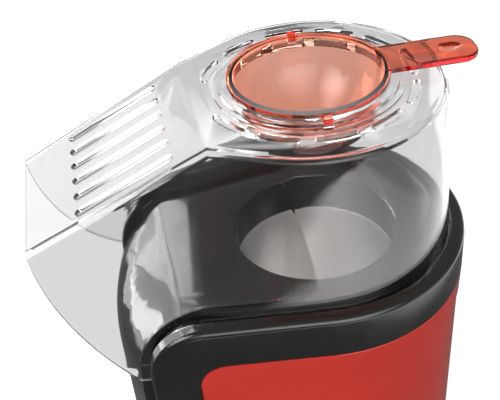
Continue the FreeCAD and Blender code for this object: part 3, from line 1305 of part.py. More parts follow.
def make_measuring_cup():
    """Measuring cup with rim, handle and two lugs that stop it turning in its seat."""
    outer_radius = seat_bore() - SEAT_CLEARANCE
    bottom = CUP_TOP - CUP_DEPTH - CUP_WALL
    bowl = bowl_form(CUP_BOTTOM_RADIUS, bottom, outer_radius, CUP_UNDER_RIM, CUP_RIM_HEIGHT)
    rim = cylinder(CUP_RIM_RADIUS, CUP_UNDER_RIM, CUP_TOP)
    lug_reach = CUP_RIM_RADIUS + LUG_LENGTH
    lug_low = CUP_UNDER_RIM - LUG_DROP
    half = LUG_WIDTH / 2
    lugs = []
    for side in (-1, 1):
        arm_span = sorted((0, side * lug_reach))
        key_span = sorted((side * CUP_RIM_RADIUS, side * lug_reach))
        lugs.append(box((-half, half), arm_span, (CUP_UNDER_RIM, CUP_TOP - CUP_RIM_HEIGHT / 3)))
        lugs.append(box((-half, half), key_span, (lug_low, CUP_UNDER_RIM + LUG_OVERLAP)))
    inner_bottom = CUP_BOTTOM_RADIUS - CUP_WALL
    inside = bowl_form(inner_bottom, bottom + CUP_WALL, outer_radius - CUP_WALL, CUP_UNDER_RIM, 2 * OVERCUT)
    return turned(joined([bowl, rim, cup_handle()] + lugs).cut(inside), CUP_TURN)


def write_all():
    """Build every piece and save it as its own node."""
    write_node("top_housing", make_top_housing())
    write_node("outer_shell", make_outer_shell())
    write_node("base_plate", make_base_plate())
    for name, (x, y) in foot_places().items():
        write_node(name, make_foot(x, y))
    screw_tip = BASE_WALL_TOP + SCREW_GRIP
    write_node("base_screws", make_screws(base_screw_places(), FOOT_HEIGHT, screw_tip, False))
    write_node("popping_chamber", make_popping_chamber())
    write_node("chamber_gasket", make_chamber_gasket())
    flange_low = CHAMBER_TOP - CHAMBER_WALL - SHROUD_WALL
    write_node("chamber_screws", make_screws(
        round_places(4, CHAMBER_SCREW_CIRCLE, 45), flange_low - SCREW_HEAD_HEIGHT,
        CHAMBER_TOP + SCREW_GRIP - SCREW_TIP_GAP, False))
    write_node("heater_shroud", make_heater_shroud())
    shroud_tip = FAN_TOP - SCREW_GRIP + SCREW_TIP_GAP
    write_node("shroud_screws", make_screws(
        round_places(4, SHROUD_SCREW_CIRCLE), FAN_TOP + SHROUD_WALL, shroud_tip, True))
    write_node("heater_frame", make_heater_frame())
    write_node("heater_coil", make_heater_coil())
    write_node("thermostat", make_thermostat())
    write_node("thermal_fuse", make_thermal_fuse())
    write_node("fan_housing", make_fan_housing())
    floor_top = FAN_LOW + FAN_HOUSING_WALL
    write_node("fan_housing_screws", make_screws(
        round_places(4, FAN_EAR_CIRCLE, 45), floor_top, FAN_LOW - SCREW_GRIP + SCREW_TIP_GAP, True))
    write_node("motor_screws", make_screws(
        round_places(2, MOTOR_SCREW_CIRCLE), floor_top, FAN_LOW - MOTOR_CAN_WALL, True))
    write_node("fan_impeller", make_fan_impeller())
    write_node("fan_nut", make_fan_nut())
    write_node("motor_can", make_motor_can())
    write_node("motor_end_cap", make_motor_end_cap())
    write_node("motor_bushes", make_motor_bushes())
    write_node("motor_magnets", make_motor_magnets())
    write_node("motor_brushes", make_motor_brushes())
    write_node("motor_shaft", make_motor_shaft())
    write_node("armature", make_armature())
    write_node("armature_windings", make_armature_windings())
    write_node("commutator", make_commutator())
    write_node("rectifier_board", make_rectifier_board())
    write_node("rectifier_diodes", make_rectifier_diodes())
    write_node("switch_body", make_switch_body())
    write_node("rocker_button", make_rocker_button())
    write_node("cord_gland", make_cord_gland())
    write_node("clear_cover", make_clear_cover())
    write_node("measuring_cup", make_measuring_cup())


write_all()
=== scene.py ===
import logging
import math
from dataclasses import dataclass
from enum import Enum

import bmesh
import bpy
import numpy as np
from mathutils import Matrix, Vector
from mathutils.bvhtree import BVHTree
from mathutils.interpolate import poly_3d_calc


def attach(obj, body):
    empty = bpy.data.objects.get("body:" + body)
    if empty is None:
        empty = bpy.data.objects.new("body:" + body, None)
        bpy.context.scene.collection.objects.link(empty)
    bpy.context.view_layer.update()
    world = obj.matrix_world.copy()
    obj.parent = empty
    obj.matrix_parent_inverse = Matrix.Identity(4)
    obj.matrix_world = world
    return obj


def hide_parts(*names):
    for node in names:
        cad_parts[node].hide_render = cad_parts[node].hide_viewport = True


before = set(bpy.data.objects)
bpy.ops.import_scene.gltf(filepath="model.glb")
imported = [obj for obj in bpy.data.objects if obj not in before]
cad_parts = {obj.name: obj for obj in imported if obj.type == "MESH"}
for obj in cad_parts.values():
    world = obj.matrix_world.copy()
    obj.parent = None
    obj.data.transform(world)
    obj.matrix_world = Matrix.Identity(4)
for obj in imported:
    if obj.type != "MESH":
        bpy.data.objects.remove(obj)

Colour = tuple[float, float, float]
Point = tuple[float, float, float]
Socket = bpy.types.NodeSocket
Node = bpy.types.Node
Tree = bpy.types.NodeTree
Mesh = bpy.types.Mesh

LOG = logging.getLogger("popcorn_maker")
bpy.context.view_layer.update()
MM = 0.001
AXIS_X = 32.85 * MM

# Places along X from which walls are round: in front of the whole part, or beyond it.
ALL_ROUND = -100.0 * MM
NONE_ROUND = 1.0

# How meshes are merged, broken and shaded.
WELD = 0.002 * MM
FLAT_ANGLE = math.radians(0.05)
BREAK_STEPS = 3
ROUND_BLEND = 10.0 * MM
RADIAL = 0.98
UPRIGHT = 0.3
PARALLEL = 0.95
PROBE_START = 0.1 * MM
TINY = 1e-12

# How screws are told apart and made.
TOP_SLACK = 0.01 * MM
PLACE_DIGITS = 6
WIDER = 1.2
HEAD_SIDES = 32
SHANK_SIDES = 20

# Turns and wall faces on a ray's way, between whole counts.
AFTER_ONE = 0.5
FIRST_WALL = 1.5
TWO_PANES = (3.4, 3.6)

# Fade of a soft light from its middle, by distance as a share of its side.
LAMP_MIDDLE = (0.5, 0.5, 0.0)
SOFT_REACH = (0.1, 0.5)
SOFT_PEAK = 2.4

WHITE = (1.0, 1.0, 1.0, 1.0)
DUST_COLOUR = (0.45, 0.43, 0.4)
DUST_ROUGHNESS = 0.5
SKIN_ROUGHNESS = 0.04


class Body(Enum):
    """Bodies of the frame that pieces ride on."""

    FIXED = "body"
    ROCKER = "rocker"
    COVER = "cover"
    CUP = "cup"


class Lay(Enum):
    """Direction of the tool marks on bare metal."""

    TURNED = "rings round the chamber axis"
    ROLLED = "lines along the sheet"
    CAST = "no direction"


class Graph:
    """Adds and joins the nodes of one node tree."""

    def __init__(self, tree: Tree) -> None:
        """Keep the tree that the graph writes to, and empty it."""
        self.tree = tree
        self.tree.nodes.clear()

    def add(self, kind: str, values: dict | None = None, **settings: object) -> Node:
        """Add a node.

        Args:
            kind: Blender's name of the node type.
            values: Fixed values or output sockets by input name or number.
            **settings: Properties of the node itself.

        Returns:
            The new node.
        """
        node = self.tree.nodes.new(kind)
        for name, value in settings.items():
            setattr(node, name, value)
        self.feed(node, values or {})
        return node

    def feed(self, node: Node, values: dict) -> None:
        """Give inputs of a node fixed values, or join outputs to them.

        Args:
            node: Node to feed.
            values: Fixed values or output sockets by input name or number.
        """
        for name, value in values.items():
            self.put(node.inputs[name], value)

    def join(self, start: Socket, end: Socket) -> None:
        """Link an output to an input."""
        self.tree.links.new(start, end)

    def put(self, socket: Socket, value: object) -> None:
        """Give an input a fixed value, or join an output to it.

        Args:
            socket: Input socket.
            value: Fixed value or output socket.
        """
        if isinstance(value, Socket):
            self.join(value, socket)
        else:
            socket.default_value = value

    def math(self, operation: str, first: object, second: object = 0.0) -> Socket:
        """Sum, product or comparison of two numbers or sockets."""
        return self.add("ShaderNodeMath", {0: first, 1: second}, operation=operation).outputs[0]

    def vector(self, *parts: object) -> Socket:
        """Vector of three numbers or sockets."""
        return self.add("ShaderNodeCombineXYZ", dict(enumerate(parts))).outputs[0]

    def noise(self, place: Socket, scale: object, detail: float, **more: float) -> Socket:
        """Noise over a place, at a scale per metre."""
        values = {"Vector": place, "Scale": scale, "Detail": detail, **more}
        return self.add("ShaderNodeTexNoise", values).outputs[0]

    def blend(self, share: Socket, low: object, high: object) -> Socket:
        """Mix two colours by a mask.

        Args:
            share: Mask between 0 and 1.
            low: Colour or socket where the mask is 0.
            high: Colour or socket where the mask is 1.

        Returns:
            The mixed colour's socket.
        """
        node = self.add("ShaderNodeMix", {"Factor": share}, data_type="RGBA")
        for name, value in (("A", low), ("B", high)):
            socket = [item for item in node.inputs if item.name == name and item.type == "RGBA"][0]
            self.put(socket, value if isinstance(value, Socket) else (*value, 1.0))
        return [item for item in node.outputs if item.type == "RGBA"][0]

    def span(self, value: Socket, source: tuple[float, float], low: object, high: object) -> Socket:
        """Value stretched from its source range to one between two numbers or sockets."""
        values = {"Value": value, "From Min": source[0], "From Max": source[1], "To Min": low, "To Max": high}
        return self.add("ShaderNodeMapRange", values, clamp=True).outputs["Result"]


class SurfaceGroups:
    """Shader node groups that several finishes share, each built once."""

    @staticmethod
    def _start(name: str, takes: dict[str, float], gives: tuple[str, ...]) -> tuple:
        """Find or start a group.

        Args:
            name: Name of the group.
            takes: Input names and their usual values.
            gives: Output names.

        Returns:
            The group, and for a new one its graph, its inputs and the place on the piece.
        """
        known = bpy.data.node_groups.get(name)
        if known:
            return known, None, None, None
        tree = bpy.data.node_groups.new(name, "ShaderNodeTree")
        for title, value in takes.items():
            socket = tree.interface.new_socket(title, in_out="INPUT", socket_type="NodeSocketFloat")
            socket.default_value = value
        for title in gives:
            tree.interface.new_socket(title, in_out="OUTPUT", socket_type="NodeSocketFloat")
        graph = Graph(tree)
        entry = graph.add("NodeGroupInput").outputs
        return tree, graph, entry, graph.add("ShaderNodeTexCoord").outputs["Object"]

    @classmethod
    def grain(cls) -> Tree:
        """Fine moulding grain and a slow drift of tone.

        Returns:
            The group.
        """
        takes = {"Scale": 1200.0, "Drift Scale": 26.0}
        tree, graph, entry, place = cls._start("moulding_grain", takes, ("Height", "Drift"))
        if graph:
            fine = graph.noise(place, entry["Scale"], 2.0, Roughness=0.55)
            slow = graph.noise(place, entry["Drift Scale"], 3.0, Roughness=0.5)
            drift = graph.span(slow, (0.3, 0.7), 0.0, 1.0)
            graph.add("NodeGroupOutput", {"Height": fine, "Drift": drift})
        return tree

    @classmethod
    def marks(cls) -> Tree:
        """Roughness of a handled surface: wiped patches and fine hairlines.

        Returns:
            The group.
        """
        takes = {"Clean": 0.1, "Worn": 0.25, "Scale": 35.0}
        tree, graph, entry, place = cls._start("handling_marks", takes, ("Roughness", "Hairlines"))
        if graph:
            patches = graph.noise(place, entry["Scale"], 4.0, Roughness=0.62, Distortion=0.6)
            turn = graph.add("ShaderNodeMapping", {
                "Vector": place, "Rotation": (0.3, 0.5, 0.8), "Scale": (60.0, 2400.0, 900.0)})
            lines = graph.noise(turn.outputs["Vector"], 1.0, 1.0)
            graph.add("NodeGroupOutput", {
                "Roughness": graph.span(patches, (0.42, 0.68), entry["Clean"], entry["Worn"]),
                "Hairlines": graph.span(lines, (0.66, 0.78), 0.0, 1.0)})
        return tree

    @classmethod
    def dust(cls) -> Tree:
        """Mask of dust that settles on faces that look up.

        Returns:
            The group.
        """
        takes = {"Amount": 0.1, "Scale": 420.0}
        tree, graph, entry, place = cls._start("settled_dust", takes, ("Mask",))
        if graph:
            specks = graph.noise(place, entry["Scale"], 5.0, Roughness=0.7)
            normal = graph.add("ShaderNodeNewGeometry").outputs["Normal"]
            facing = graph.add("ShaderNodeSeparateXYZ", {0: normal})
            upward = graph.span(facing.outputs["Z"], (0.35, 1.0), 0.0, 1.0)
            speckle = graph.span(specks, (0.5, 0.8), 0.0, 1.0)
            covered = graph.math("MULTIPLY", upward, speckle)
            graph.add("NodeGroupOutput", {"Mask": graph.math("MULTIPLY", covered, entry["Amount"])})
        return tree

    @classmethod
    def rings(cls) -> Tree:
        """Turning lines round the chamber axis.

        Returns:
            The group.
        """
        takes = {"Lines": 1400.0, "Waver": 9.0}
        tree, graph, entry, place = cls._start("turning_lines", takes, ("Height", "Tone"))
        if graph:
            shift = {"Vector": place, "Location": (-AXIS_X, 0.0, 0.0)}
            centred = graph.add("ShaderNodeMapping", shift).outputs["Vector"]
            split = graph.add("ShaderNodeSeparateXYZ", {0: centred}).outputs
            level = graph.vector(split["X"], split["Y"], 0.0)
            reach = graph.add("ShaderNodeVectorMath", {0: level}, operation="LENGTH")
            along = graph.math("ADD", reach.outputs["Value"], split["Z"])
            lines = graph.add("ShaderNodeTexNoise", {
                "W": along, "Scale": entry["Lines"], "Detail": 2.0}, noise_dimensions="1D")
            waver = graph.noise(centred, entry["Waver"], 2.0)
            graph.add("NodeGroupOutput", {"Height": lines.outputs[0], "Tone": waver})
        return tree


@dataclass(frozen=True)
class Finish:
    """A named finish that turns into one material.

    Attributes:
        name: Name of the material.
    """

    name: str

    def material(self) -> bpy.types.Material:
        """Material of the finish, made when it is first asked for.

        Returns:
            The material.
        """
        known = bpy.data.materials.get(self.name)
        if known:
            return known
        material = bpy.data.materials.new(self.name)
        material.use_nodes = True
        graph = Graph(material.node_tree)
        shader = graph.add("ShaderNodeBsdfPrincipled")
        output = graph.add("ShaderNodeOutputMaterial", {"Surface": shader.outputs["BSDF"]})
        self.fill(graph, shader, output)
        return material

    def fill(self, graph: Graph, shader: Node, output: Node) -> None:
        """Set the shader up; each kind of finish has its own way.

        Args:
            graph: Graph of the material.
            shader: Principled shader.
            output: Material output.
        """
        raise NotImplementedError

    @staticmethod
    def group(graph: Graph, tree: Tree, **values: float) -> Node:
        """Place a shared group with its own values, an underscore in a name standing for a space."""
        titled = {title.replace("_", " "): value for title, value in values.items()}
        return graph.add("ShaderNodeGroup", titled, node_tree=tree)

    @staticmethod
    def bump(graph: Graph, shader: Node, height: Socket, depth: float, strength: float = 1.0) -> None:
        """Raise the surface by a height between 0 and 1, with the full depth in metres."""
        node = graph.add("ShaderNodeBump", {"Height": height, "Strength": strength, "Distance": depth})
        graph.join(node.outputs["Normal"], shader.inputs["Normal"])


@dataclass(frozen=True)
class Moulding(Finish):
    """Opaque moulded plastic or rubber.

    Attributes:
        colour: Main colour.
        shade: Colour that it drifts to.
        clean: Roughness where it is wiped.
        worn: Roughness where it is dull.
        grain: Grain scale per metre.
        depth: Grain depth in metres.
        coat: Weight of the glossy skin.
        dust: Amount of settled dust.
    """

    colour: Colour
    shade: Colour
    clean: float = 0.12
    worn: float = 0.22
    grain: float = 1200.0
    depth: float = 0.00002
    coat: float = 0.0
    dust: float = 0.05

    def fill(self, graph: Graph, shader: Node, output: Node) -> None:
        """Tone drift, handled gloss, grain and a little dust.

        Args:
            graph: Graph of the material.
            shader: Principled shader.
            output: Material output.
        """
        grain = self.group(graph, SurfaceGroups.grain(), Scale=self.grain)
        marks = self.group(graph, SurfaceGroups.marks(), Clean=self.clean, Worn=self.worn)
        dust = self.group(graph, SurfaceGroups.dust(), Amount=self.dust)
        tone = graph.blend(grain.outputs["Drift"], self.colour, self.shade)
        dull = graph.math("MULTIPLY", dust.outputs["Mask"], DUST_ROUGHNESS)
        graph.feed(shader, {
            "Base Color": graph.blend(dust.outputs["Mask"], tone, DUST_COLOUR),
            "Roughness": graph.math("ADD", marks.outputs["Roughness"], dull),
            "Coat Weight": self.coat, "Coat Roughness": SKIN_ROUGHNESS})
        self.bump(graph, shader, grain.outputs["Height"], self.depth)


@dataclass(frozen=True)
class ClearMoulding(Finish):
    """See-through plastic that keeps its shadow light.

    Attributes:
        tint: Colour at the surface.
        veil: Colour that light keeps on its way through the wall.
        density: How fast the wall takes light, per metre.
        clean: Roughness where it is wiped.
        worn: Roughness where it is handled.
        index: Refractive index.
        shadow: Colour of the light that falls through.
        turns: How often light may turn inside the wall before it is let out.
        patches: Scale of the handled patches, per metre.
        waves: Scale of the slow waves of the surface, per metre.
        depth: Depth of the waves in metres.
        share: Share of the waves' effect.
    """

    tint: Colour
    veil: Colour
    density: float
    clean: float = 0.02
    worn: float = 0.06
    index: float = 1.5
    shadow: Colour = (0.92, 0.92, 0.92)
    turns: float = 3.5
    patches: float = 22.0
    waves: float = 60.0
    depth: float = 0.00004
    share: float = 0.25

    def fill(self, graph: Graph, shader: Node, output: Node) -> None:
        """Refraction with absorption inside, and light let through for what stands behind.

        Args:
            graph: Graph of the material.
            shader: Principled shader.
            output: Material output.
        """
        marks = self.group(graph, SurfaceGroups.marks(), Clean=self.clean, Worn=self.worn, Scale=self.patches)
        graph.feed(shader, {
            "Base Color": (*self.tint, 1.0), "Transmission Weight": 1.0, "IOR": self.index,
            "Roughness": marks.outputs["Roughness"]})
        grain = self.group(graph, SurfaceGroups.grain(), Scale=self.waves)
        self.bump(graph, shader, grain.outputs["Height"], self.depth, self.share)
        path = graph.add("ShaderNodeLightPath").outputs
        through = graph.add("ShaderNodeBsdfTransparent", {"Color": (*self.shadow, 1.0)})
        behind = graph.math("MAXIMUM", path["Is Shadow Ray"], path["Is Diffuse Ray"])
        trapped = graph.math("GREATER_THAN", path["Glossy Depth"], self.turns)
        nearest = graph.math("LESS_THAN", path["Transmission Depth"], FIRST_WALL)
        let_out = graph.math("MAXIMUM", behind, graph.math("MULTIPLY", trapped, nearest))
        mix = graph.add("ShaderNodeMixShader", {
            0: let_out, 1: shader.outputs["BSDF"], 2: through.outputs["BSDF"]})
        inside = graph.add("ShaderNodeVolumeAbsorption", {
            "Color": (*self.veil, 1.0), "Density": self.density})
        graph.feed(output, {"Surface": mix.outputs[0], "Volume": inside.outputs[0]})


@dataclass(frozen=True)
class Metal(Finish):
    """Bare metal with tool marks.

    Attributes:
        colour: Main colour.
        shade: Colour that its tone drifts to.
        clean: Roughness of bright patches.
        worn: Roughness of dull patches.
        lay: Direction of the tool marks.
        lines: Tool marks per metre.
        depth: Depth of the marks in metres.
        patches: Scale of the dull patches, per metre.
        drift: Scale of the drift of tone, per metre.
    """

    colour: Colour
    shade: Colour
    clean: float = 0.25
    worn: float = 0.4
    lay: Lay = Lay.CAST
    lines: float = 1400.0
    depth: float = 0.00002
    patches: float = 60.0
    drift: float = 80.0

    def fill(self, graph: Graph, shader: Node, output: Node) -> None:
        """Metal tone, marks along the lay and dull patches.

        Args:
            graph: Graph of the material.
            shader: Principled shader.
            output: Material output.
        """
        marks = self.group(graph, SurfaceGroups.marks(), Clean=self.clean, Worn=self.worn, Scale=self.patches)
        if self.lay is Lay.TURNED:
            lines = self.group(graph, SurfaceGroups.rings(), Lines=self.lines)
            tone, height = lines.outputs["Tone"], lines.outputs["Height"]
        else:
            grain = self.group(graph, SurfaceGroups.grain(), Scale=self.lines, Drift_Scale=self.drift)
            tone = grain.outputs["Drift"]
            height = marks.outputs["Hairlines"] if self.lay is Lay.ROLLED else grain.outputs["Height"]
        graph.feed(shader, {
            "Base Color": graph.blend(tone, self.colour, self.shade), "Metallic": 1.0,
            "Roughness": marks.outputs["Roughness"]})
        self.bump(graph, shader, height, self.depth)


@dataclass(frozen=True)
class Flecked(Finish):
    """Board, fibre, ceramic or wound wire with flecks or threads.

    Attributes:
        colour: Ground colour.
        fleck: Colour of the flecks.
        scale: Flecks per metre.
        rough: Least roughness.
        stretch: Stretch of the flecks along the three axes.
        spread: How far the flecks stray from even places.
        edge: Distances from a fleck's middle between which it fades.
        wear: Roughness that worn patches add.
        depth: Height of the flecks in metres.
        share: Share of that height's effect.
    """

    colour: Colour
    fleck: Colour
    scale: float = 500.0
    rough: float = 0.5
    stretch: Point = (1.0, 1.0, 1.0)
    spread: float = 0.9
    edge: tuple[float, float] = (0.15, 0.6)
    wear: float = 0.15
    depth: float = 0.00008
    share: float = 0.6

    def fill(self, graph: Graph, shader: Node, output: Node) -> None:
        """Flecks in colour and height over a ground that drifts in gloss.

        Args:
            graph: Graph of the material.
            shader: Principled shader.
            output: Material output.
        """
        place = graph.add("ShaderNodeTexCoord").outputs["Object"]
        pulled = graph.add("ShaderNodeMapping", {"Vector": place, "Scale": self.stretch}).outputs["Vector"]
        cells = graph.add("ShaderNodeTexVoronoi", {
            "Vector": pulled, "Scale": self.scale, "Randomness": self.spread})
        mask = graph.span(cells.outputs["Distance"], self.edge, 1.0, 0.0)
        worn = min(1.0, self.rough + self.wear)
        marks = self.group(graph, SurfaceGroups.marks(), Clean=self.rough, Worn=worn)
        graph.feed(shader, {
            "Base Color": graph.blend(mask, self.colour, self.fleck),
            "Roughness": marks.outputs["Roughness"]})
        self.bump(graph, shader, mask, self.depth, self.share)


BLACK_GLOSS = Moulding("black_gloss_moulding", (0.006, 0.0058, 0.0058), (0.008, 0.0077, 0.0077),
                       clean=0.13, worn=0.2, grain=2600.0, depth=0.000004, coat=0.8, dust=0.02)
RED_GLOSS = Moulding("red_gloss_moulding", (0.6, 0.038, 0.026), (0.55, 0.033, 0.023),
                     clean=0.13, worn=0.2, grain=2200.0, depth=0.000004, coat=0.35, dust=0.015)
BLACK_MATT = Moulding("black_grained_moulding", (0.02, 0.02, 0.021), (0.028, 0.028, 0.029),
                      clean=0.42, worn=0.55, grain=2200.0, depth=0.00004, dust=0.06)
RUBBER = Moulding("foot_rubber_black", (0.018, 0.018, 0.018), (0.035, 0.034, 0.033),
                  clean=0.7, worn=0.85, grain=3000.0, depth=0.00006, dust=0.15)
CLEAR = ClearMoulding("clear_hood_plastic", (0.945, 0.947, 0.947), (0.5, 0.51, 0.51), 10.0)
AMBER = ClearMoulding("amber_cup_plastic", (1.0, 0.96, 0.94), (0.96, 0.34, 0.09), 560.0,
                      clean=0.03, worn=0.08, shadow=(0.85, 0.42, 0.3), turns=9.5)
SPUN = Metal("spun_chamber_metal", (0.93, 0.925, 0.915), (0.86, 0.855, 0.85), clean=0.3, worn=0.42,
             lay=Lay.TURNED, lines=1500.0, depth=0.00003)
SHEET = Metal("bright_sheet_metal", (0.62, 0.63, 0.64), (0.5, 0.5, 0.51), clean=0.25, worn=0.42,
              lay=Lay.ROLLED, depth=0.00002)
ZINC = Metal("zinc_screw_metal", (0.66, 0.65, 0.6), (0.52, 0.52, 0.5), clean=0.22, worn=0.38)
GROUND = Metal("ground_shaft_metal", (0.72, 0.72, 0.73), (0.6, 0.6, 0.61), clean=0.12, worn=0.25,
               lay=Lay.TURNED)
WIRE = Metal("heating_wire_metal", (0.3, 0.27, 0.25), (0.2, 0.16, 0.14), clean=0.4, worn=0.6)
CORE = Metal("core_sheet_metal", (0.36, 0.36, 0.37), (0.27, 0.26, 0.26), clean=0.35, worn=0.5,
             lay=Lay.ROLLED)
COPPER = Metal("enamelled_copper", (0.72, 0.29, 0.13), (0.5, 0.17, 0.07), clean=0.25, worn=0.4)
BRONZE = Metal("oiled_bronze", (0.55, 0.37, 0.17), (0.4, 0.25, 0.1), clean=0.3, worn=0.45)
FUSE = Metal("fuse_case_metal", (0.72, 0.71, 0.66), (0.6, 0.59, 0.55), clean=0.25, worn=0.4)
MICA = Flecked("pressed_mica", (0.58, 0.47, 0.28), (0.75, 0.66, 0.46), 420.0, 0.35)
FIBRE = Flecked("white_heat_fibre", (0.72, 0.7, 0.64), (0.88, 0.86, 0.8), 900.0, 0.8, (1.0, 1.0, 3.0))
PHENOLIC = Flecked("brown_case", (0.16, 0.07, 0.035), (0.24, 0.11, 0.06), 900.0, 0.35)
TAN = Moulding("tan_heat_moulding", (0.46, 0.4, 0.3), (0.52, 0.45, 0.34), clean=0.4, worn=0.55,
               grain=1500.0, depth=0.00004, dust=0.1)
GREY = Moulding("grey_moulding", (0.1, 0.1, 0.105), (0.14, 0.14, 0.145), clean=0.35, worn=0.5, dust=0.1)
FERRITE = Flecked("dark_ferrite", (0.045, 0.045, 0.05), (0.09, 0.09, 0.095), 1600.0, 0.55)
CARBON = Flecked("carbon_block", (0.02, 0.02, 0.02), (0.05, 0.05, 0.052), 2000.0, 0.5)
BOARD = Flecked("green_board", (0.02, 0.13, 0.05), (0.03, 0.19, 0.08), 700.0, 0.3, (1.0, 4.0, 1.0))
DIODE = Moulding("diode_case_black", (0.015, 0.015, 0.015), (0.03, 0.03, 0.03), clean=0.3, worn=0.4)


@dataclass
class Casting:
    """Copy of a solid's mesh with its corners merged, its edges broken and its curves smooth.

    Attributes:
        node: Name of the solid.
        name: Name of the new piece.
        body: Body that it rides on.
        slot: Name of a material slot; not used.
        finish: Finish of the piece.
        edge_break: Width of the broken edges in metres.
        crease: Angle in degrees above which an edge counts as sharp.
        alike: Angle in degrees below which ripples are evened out.
        round_from: Place along X from which its upright walls are round about the chamber axis.
        wall: Greatest thickness of its clear walls, or nothing for a solid piece.
        room: Least width of the faces beside a broken edge, as a multiple of the break.
        outer_only: Whether hollow edges stay as they are.
    """

    node: str
    name: str
    body: Body
    slot: str
    finish: Finish
    edge_break: float = 0.35 * MM
    crease: float = 28.0
    alike: float = 5.0
    round_from: float = NONE_ROUND
    wall: float = 0.0
    room: float = 2.5
    outer_only: bool = False

    def build(self) -> None:
        """Make the piece and put it in the solid's place."""
        mesh = self.soften(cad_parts[self.node].data)
        place_piece(mesh, self.name, self.body, self.finish, (self.node,))

    def soften(self, source: Mesh) -> Mesh:
        """Merge, flatten into whole faces, and break the sharp edges.

        Args:
            source: Mesh of loose triangles.

        Returns:
            A new mesh.
        """
        work = bmesh.new()
        work.from_mesh(source)
        bmesh.ops.remove_doubles(work, verts=work.verts, dist=WELD)
        bmesh.ops.dissolve_limit(work, angle_limit=FLAT_ANGLE, verts=work.verts, edges=work.edges)
        sharp = [edge for edge in work.edges if self.has_room(edge)]
        bmesh.ops.bevel(work, geom=sharp, offset=self.edge_break, offset_type="OFFSET", segments=BREAK_STEPS,
                        profile=0.5, affect="EDGES", clamp_overlap=False, loop_slide=False)
        mesh = bpy.data.meshes.new(self.name)
        work.to_mesh(mesh)
        work.free()
        return even_shading(mesh, self.crease, self.alike, self.round_from, self.wall)

    def has_room(self, edge: bmesh.types.BMEdge) -> bool:
        """Whether an edge is sharp and the faces beside it are wide enough to break it.

        Args:
            edge: Edge of the merged mesh.

        Returns:
            True if it can be broken.
        """
        if len(edge.link_faces) != 2 or edge.calc_face_angle(0.0) <= math.radians(self.crease):
            return False
        if self.outer_only and not edge.is_convex:
            return False
        least = self.room * self.edge_break
        wide = all(2.0 * face.calc_area() / face.calc_perimeter() > least for face in edge.link_faces)
        return wide and all(near.calc_length() > least for corner in edge.verts for near in corner.link_edges)


def even_shading(mesh: Mesh, crease: float, alike: float = 5.0, round_from: float = NONE_ROUND,
                 wall: float = 0.0, rounds: int = 24) -> Mesh:
    """Shade a mesh smooth, with its large faces flat, its sharp edges kept and small ripples evened out.

    Args:
        mesh: Mesh to shade.
        crease: Angle in degrees above which an edge stays sharp.
        alike: Angle in degrees within which directions count as the same surface.
        round_from: Place along X from which upright walls are round about the chamber axis.
        wall: Greatest thickness of clear walls, whose inner face follows the outer face.
        rounds: How often neighbouring directions are averaged.

    Returns:
        The mesh.
    """
    work = bmesh.new()
    work.from_mesh(mesh)
    sharp = [edge for edge in work.edges if edge.calc_face_angle(0.0) > math.radians(crease)]
    bmesh.ops.split_edges(work, edges=sharp)
    work.verts.index_update()
    ways = np.zeros((len(work.verts), 3))
    for face in work.faces:
        for corner in face.loops:
            ways[corner.vert.index] += np.array(face.normal) * face.calc_area() * corner.calc_angle()
    ways /= np.maximum(np.linalg.norm(ways, axis=1, keepdims=True), TINY)
    pairs = np.array([[corner.index for corner in edge.verts] for edge in work.edges])
    for _ in range(rounds):
        first, second = ways[pairs[:, 0]], ways[pairs[:, 1]]
        apart = np.degrees(np.arccos(np.clip((first * second).sum(axis=1), -1.0, 1.0)))
        share = np.exp(-((apart / alike) ** 2))[:, None]
        total = ways.copy()
        np.add.at(total, pairs[:, 0], share * second)
        np.add.at(total, pairs[:, 1], share * first)
        ways = total / np.maximum(np.linalg.norm(total, axis=1, keepdims=True), TINY)
    spots = np.array([corner.co[:2] for corner in work.verts]) - (AXIS_X, 0.0)
    outward = spots / np.maximum(np.linalg.norm(spots, axis=1, keepdims=True), TINY)
    level = np.linalg.norm(ways[:, :2], axis=1, keepdims=True)
    facing = (ways[:, :2] * outward).sum(axis=1, keepdims=True) / np.maximum(level, TINY)
    share = np.clip((spots[:, :1] + AXIS_X - round_from) / ROUND_BLEND, 0.0, 1.0) * (np.abs(facing) > RADIAL)
    ways[:, :2] += share * (level * np.sign(facing) * outward - ways[:, :2])
    if wall > 0.0:
        match_walls(work, ways, wall)
    corners = [tuple(ways[corner.vert.index]) for face in work.faces for corner in face.loops]
    work.free()
    mesh.shade_smooth()
    mesh.normals_split_custom_set(corners)
    return mesh


def match_walls(work: bmesh.types.BMesh, ways: np.ndarray, wall: float) -> None:
    """Give the inner face of an upright clear wall the direction of its outer face.

    Without that, what stands behind the wall looks bent.

    Args:
        work: Mesh of the piece.
        ways: Directions by corner, changed in place for inner faces.
        wall: Greatest thickness of the wall.
    """
    work.faces.ensure_lookup_table()
    tree = BVHTree.FromBMesh(work)
    outer = ways.copy()
    for corner in work.verts:
        way = Vector(outer[corner.index])
        if abs(way.z) > UPRIGHT or way.x * (corner.co.x - AXIS_X) + way.y * corner.co.y > 0.0:
            continue
        spot, _, index, _ = tree.ray_cast(corner.co - way * PROBE_START, -way, wall)
        if spot is None:
            continue
        across = work.faces[index].verts
        shares = poly_3d_calc([other.co for other in across], spot)
        facing = sum((Vector(outer[other.index]) * share for other, share in zip(across, shares)), Vector())
        if abs(facing.z) < UPRIGHT and facing.normalized().dot(way) < -PARALLEL:
            ways[corner.index] = -facing.normalized()


def add_object(name: str, data: bpy.types.ID) -> bpy.types.Object:
    """Add an object to the scene.

    Args:
        name: Name of the object.
        data: Mesh, light or camera.

    Returns:
        The object.
    """
    thing = bpy.data.objects.new(name, data)
    bpy.context.scene.collection.objects.link(thing)
    return thing


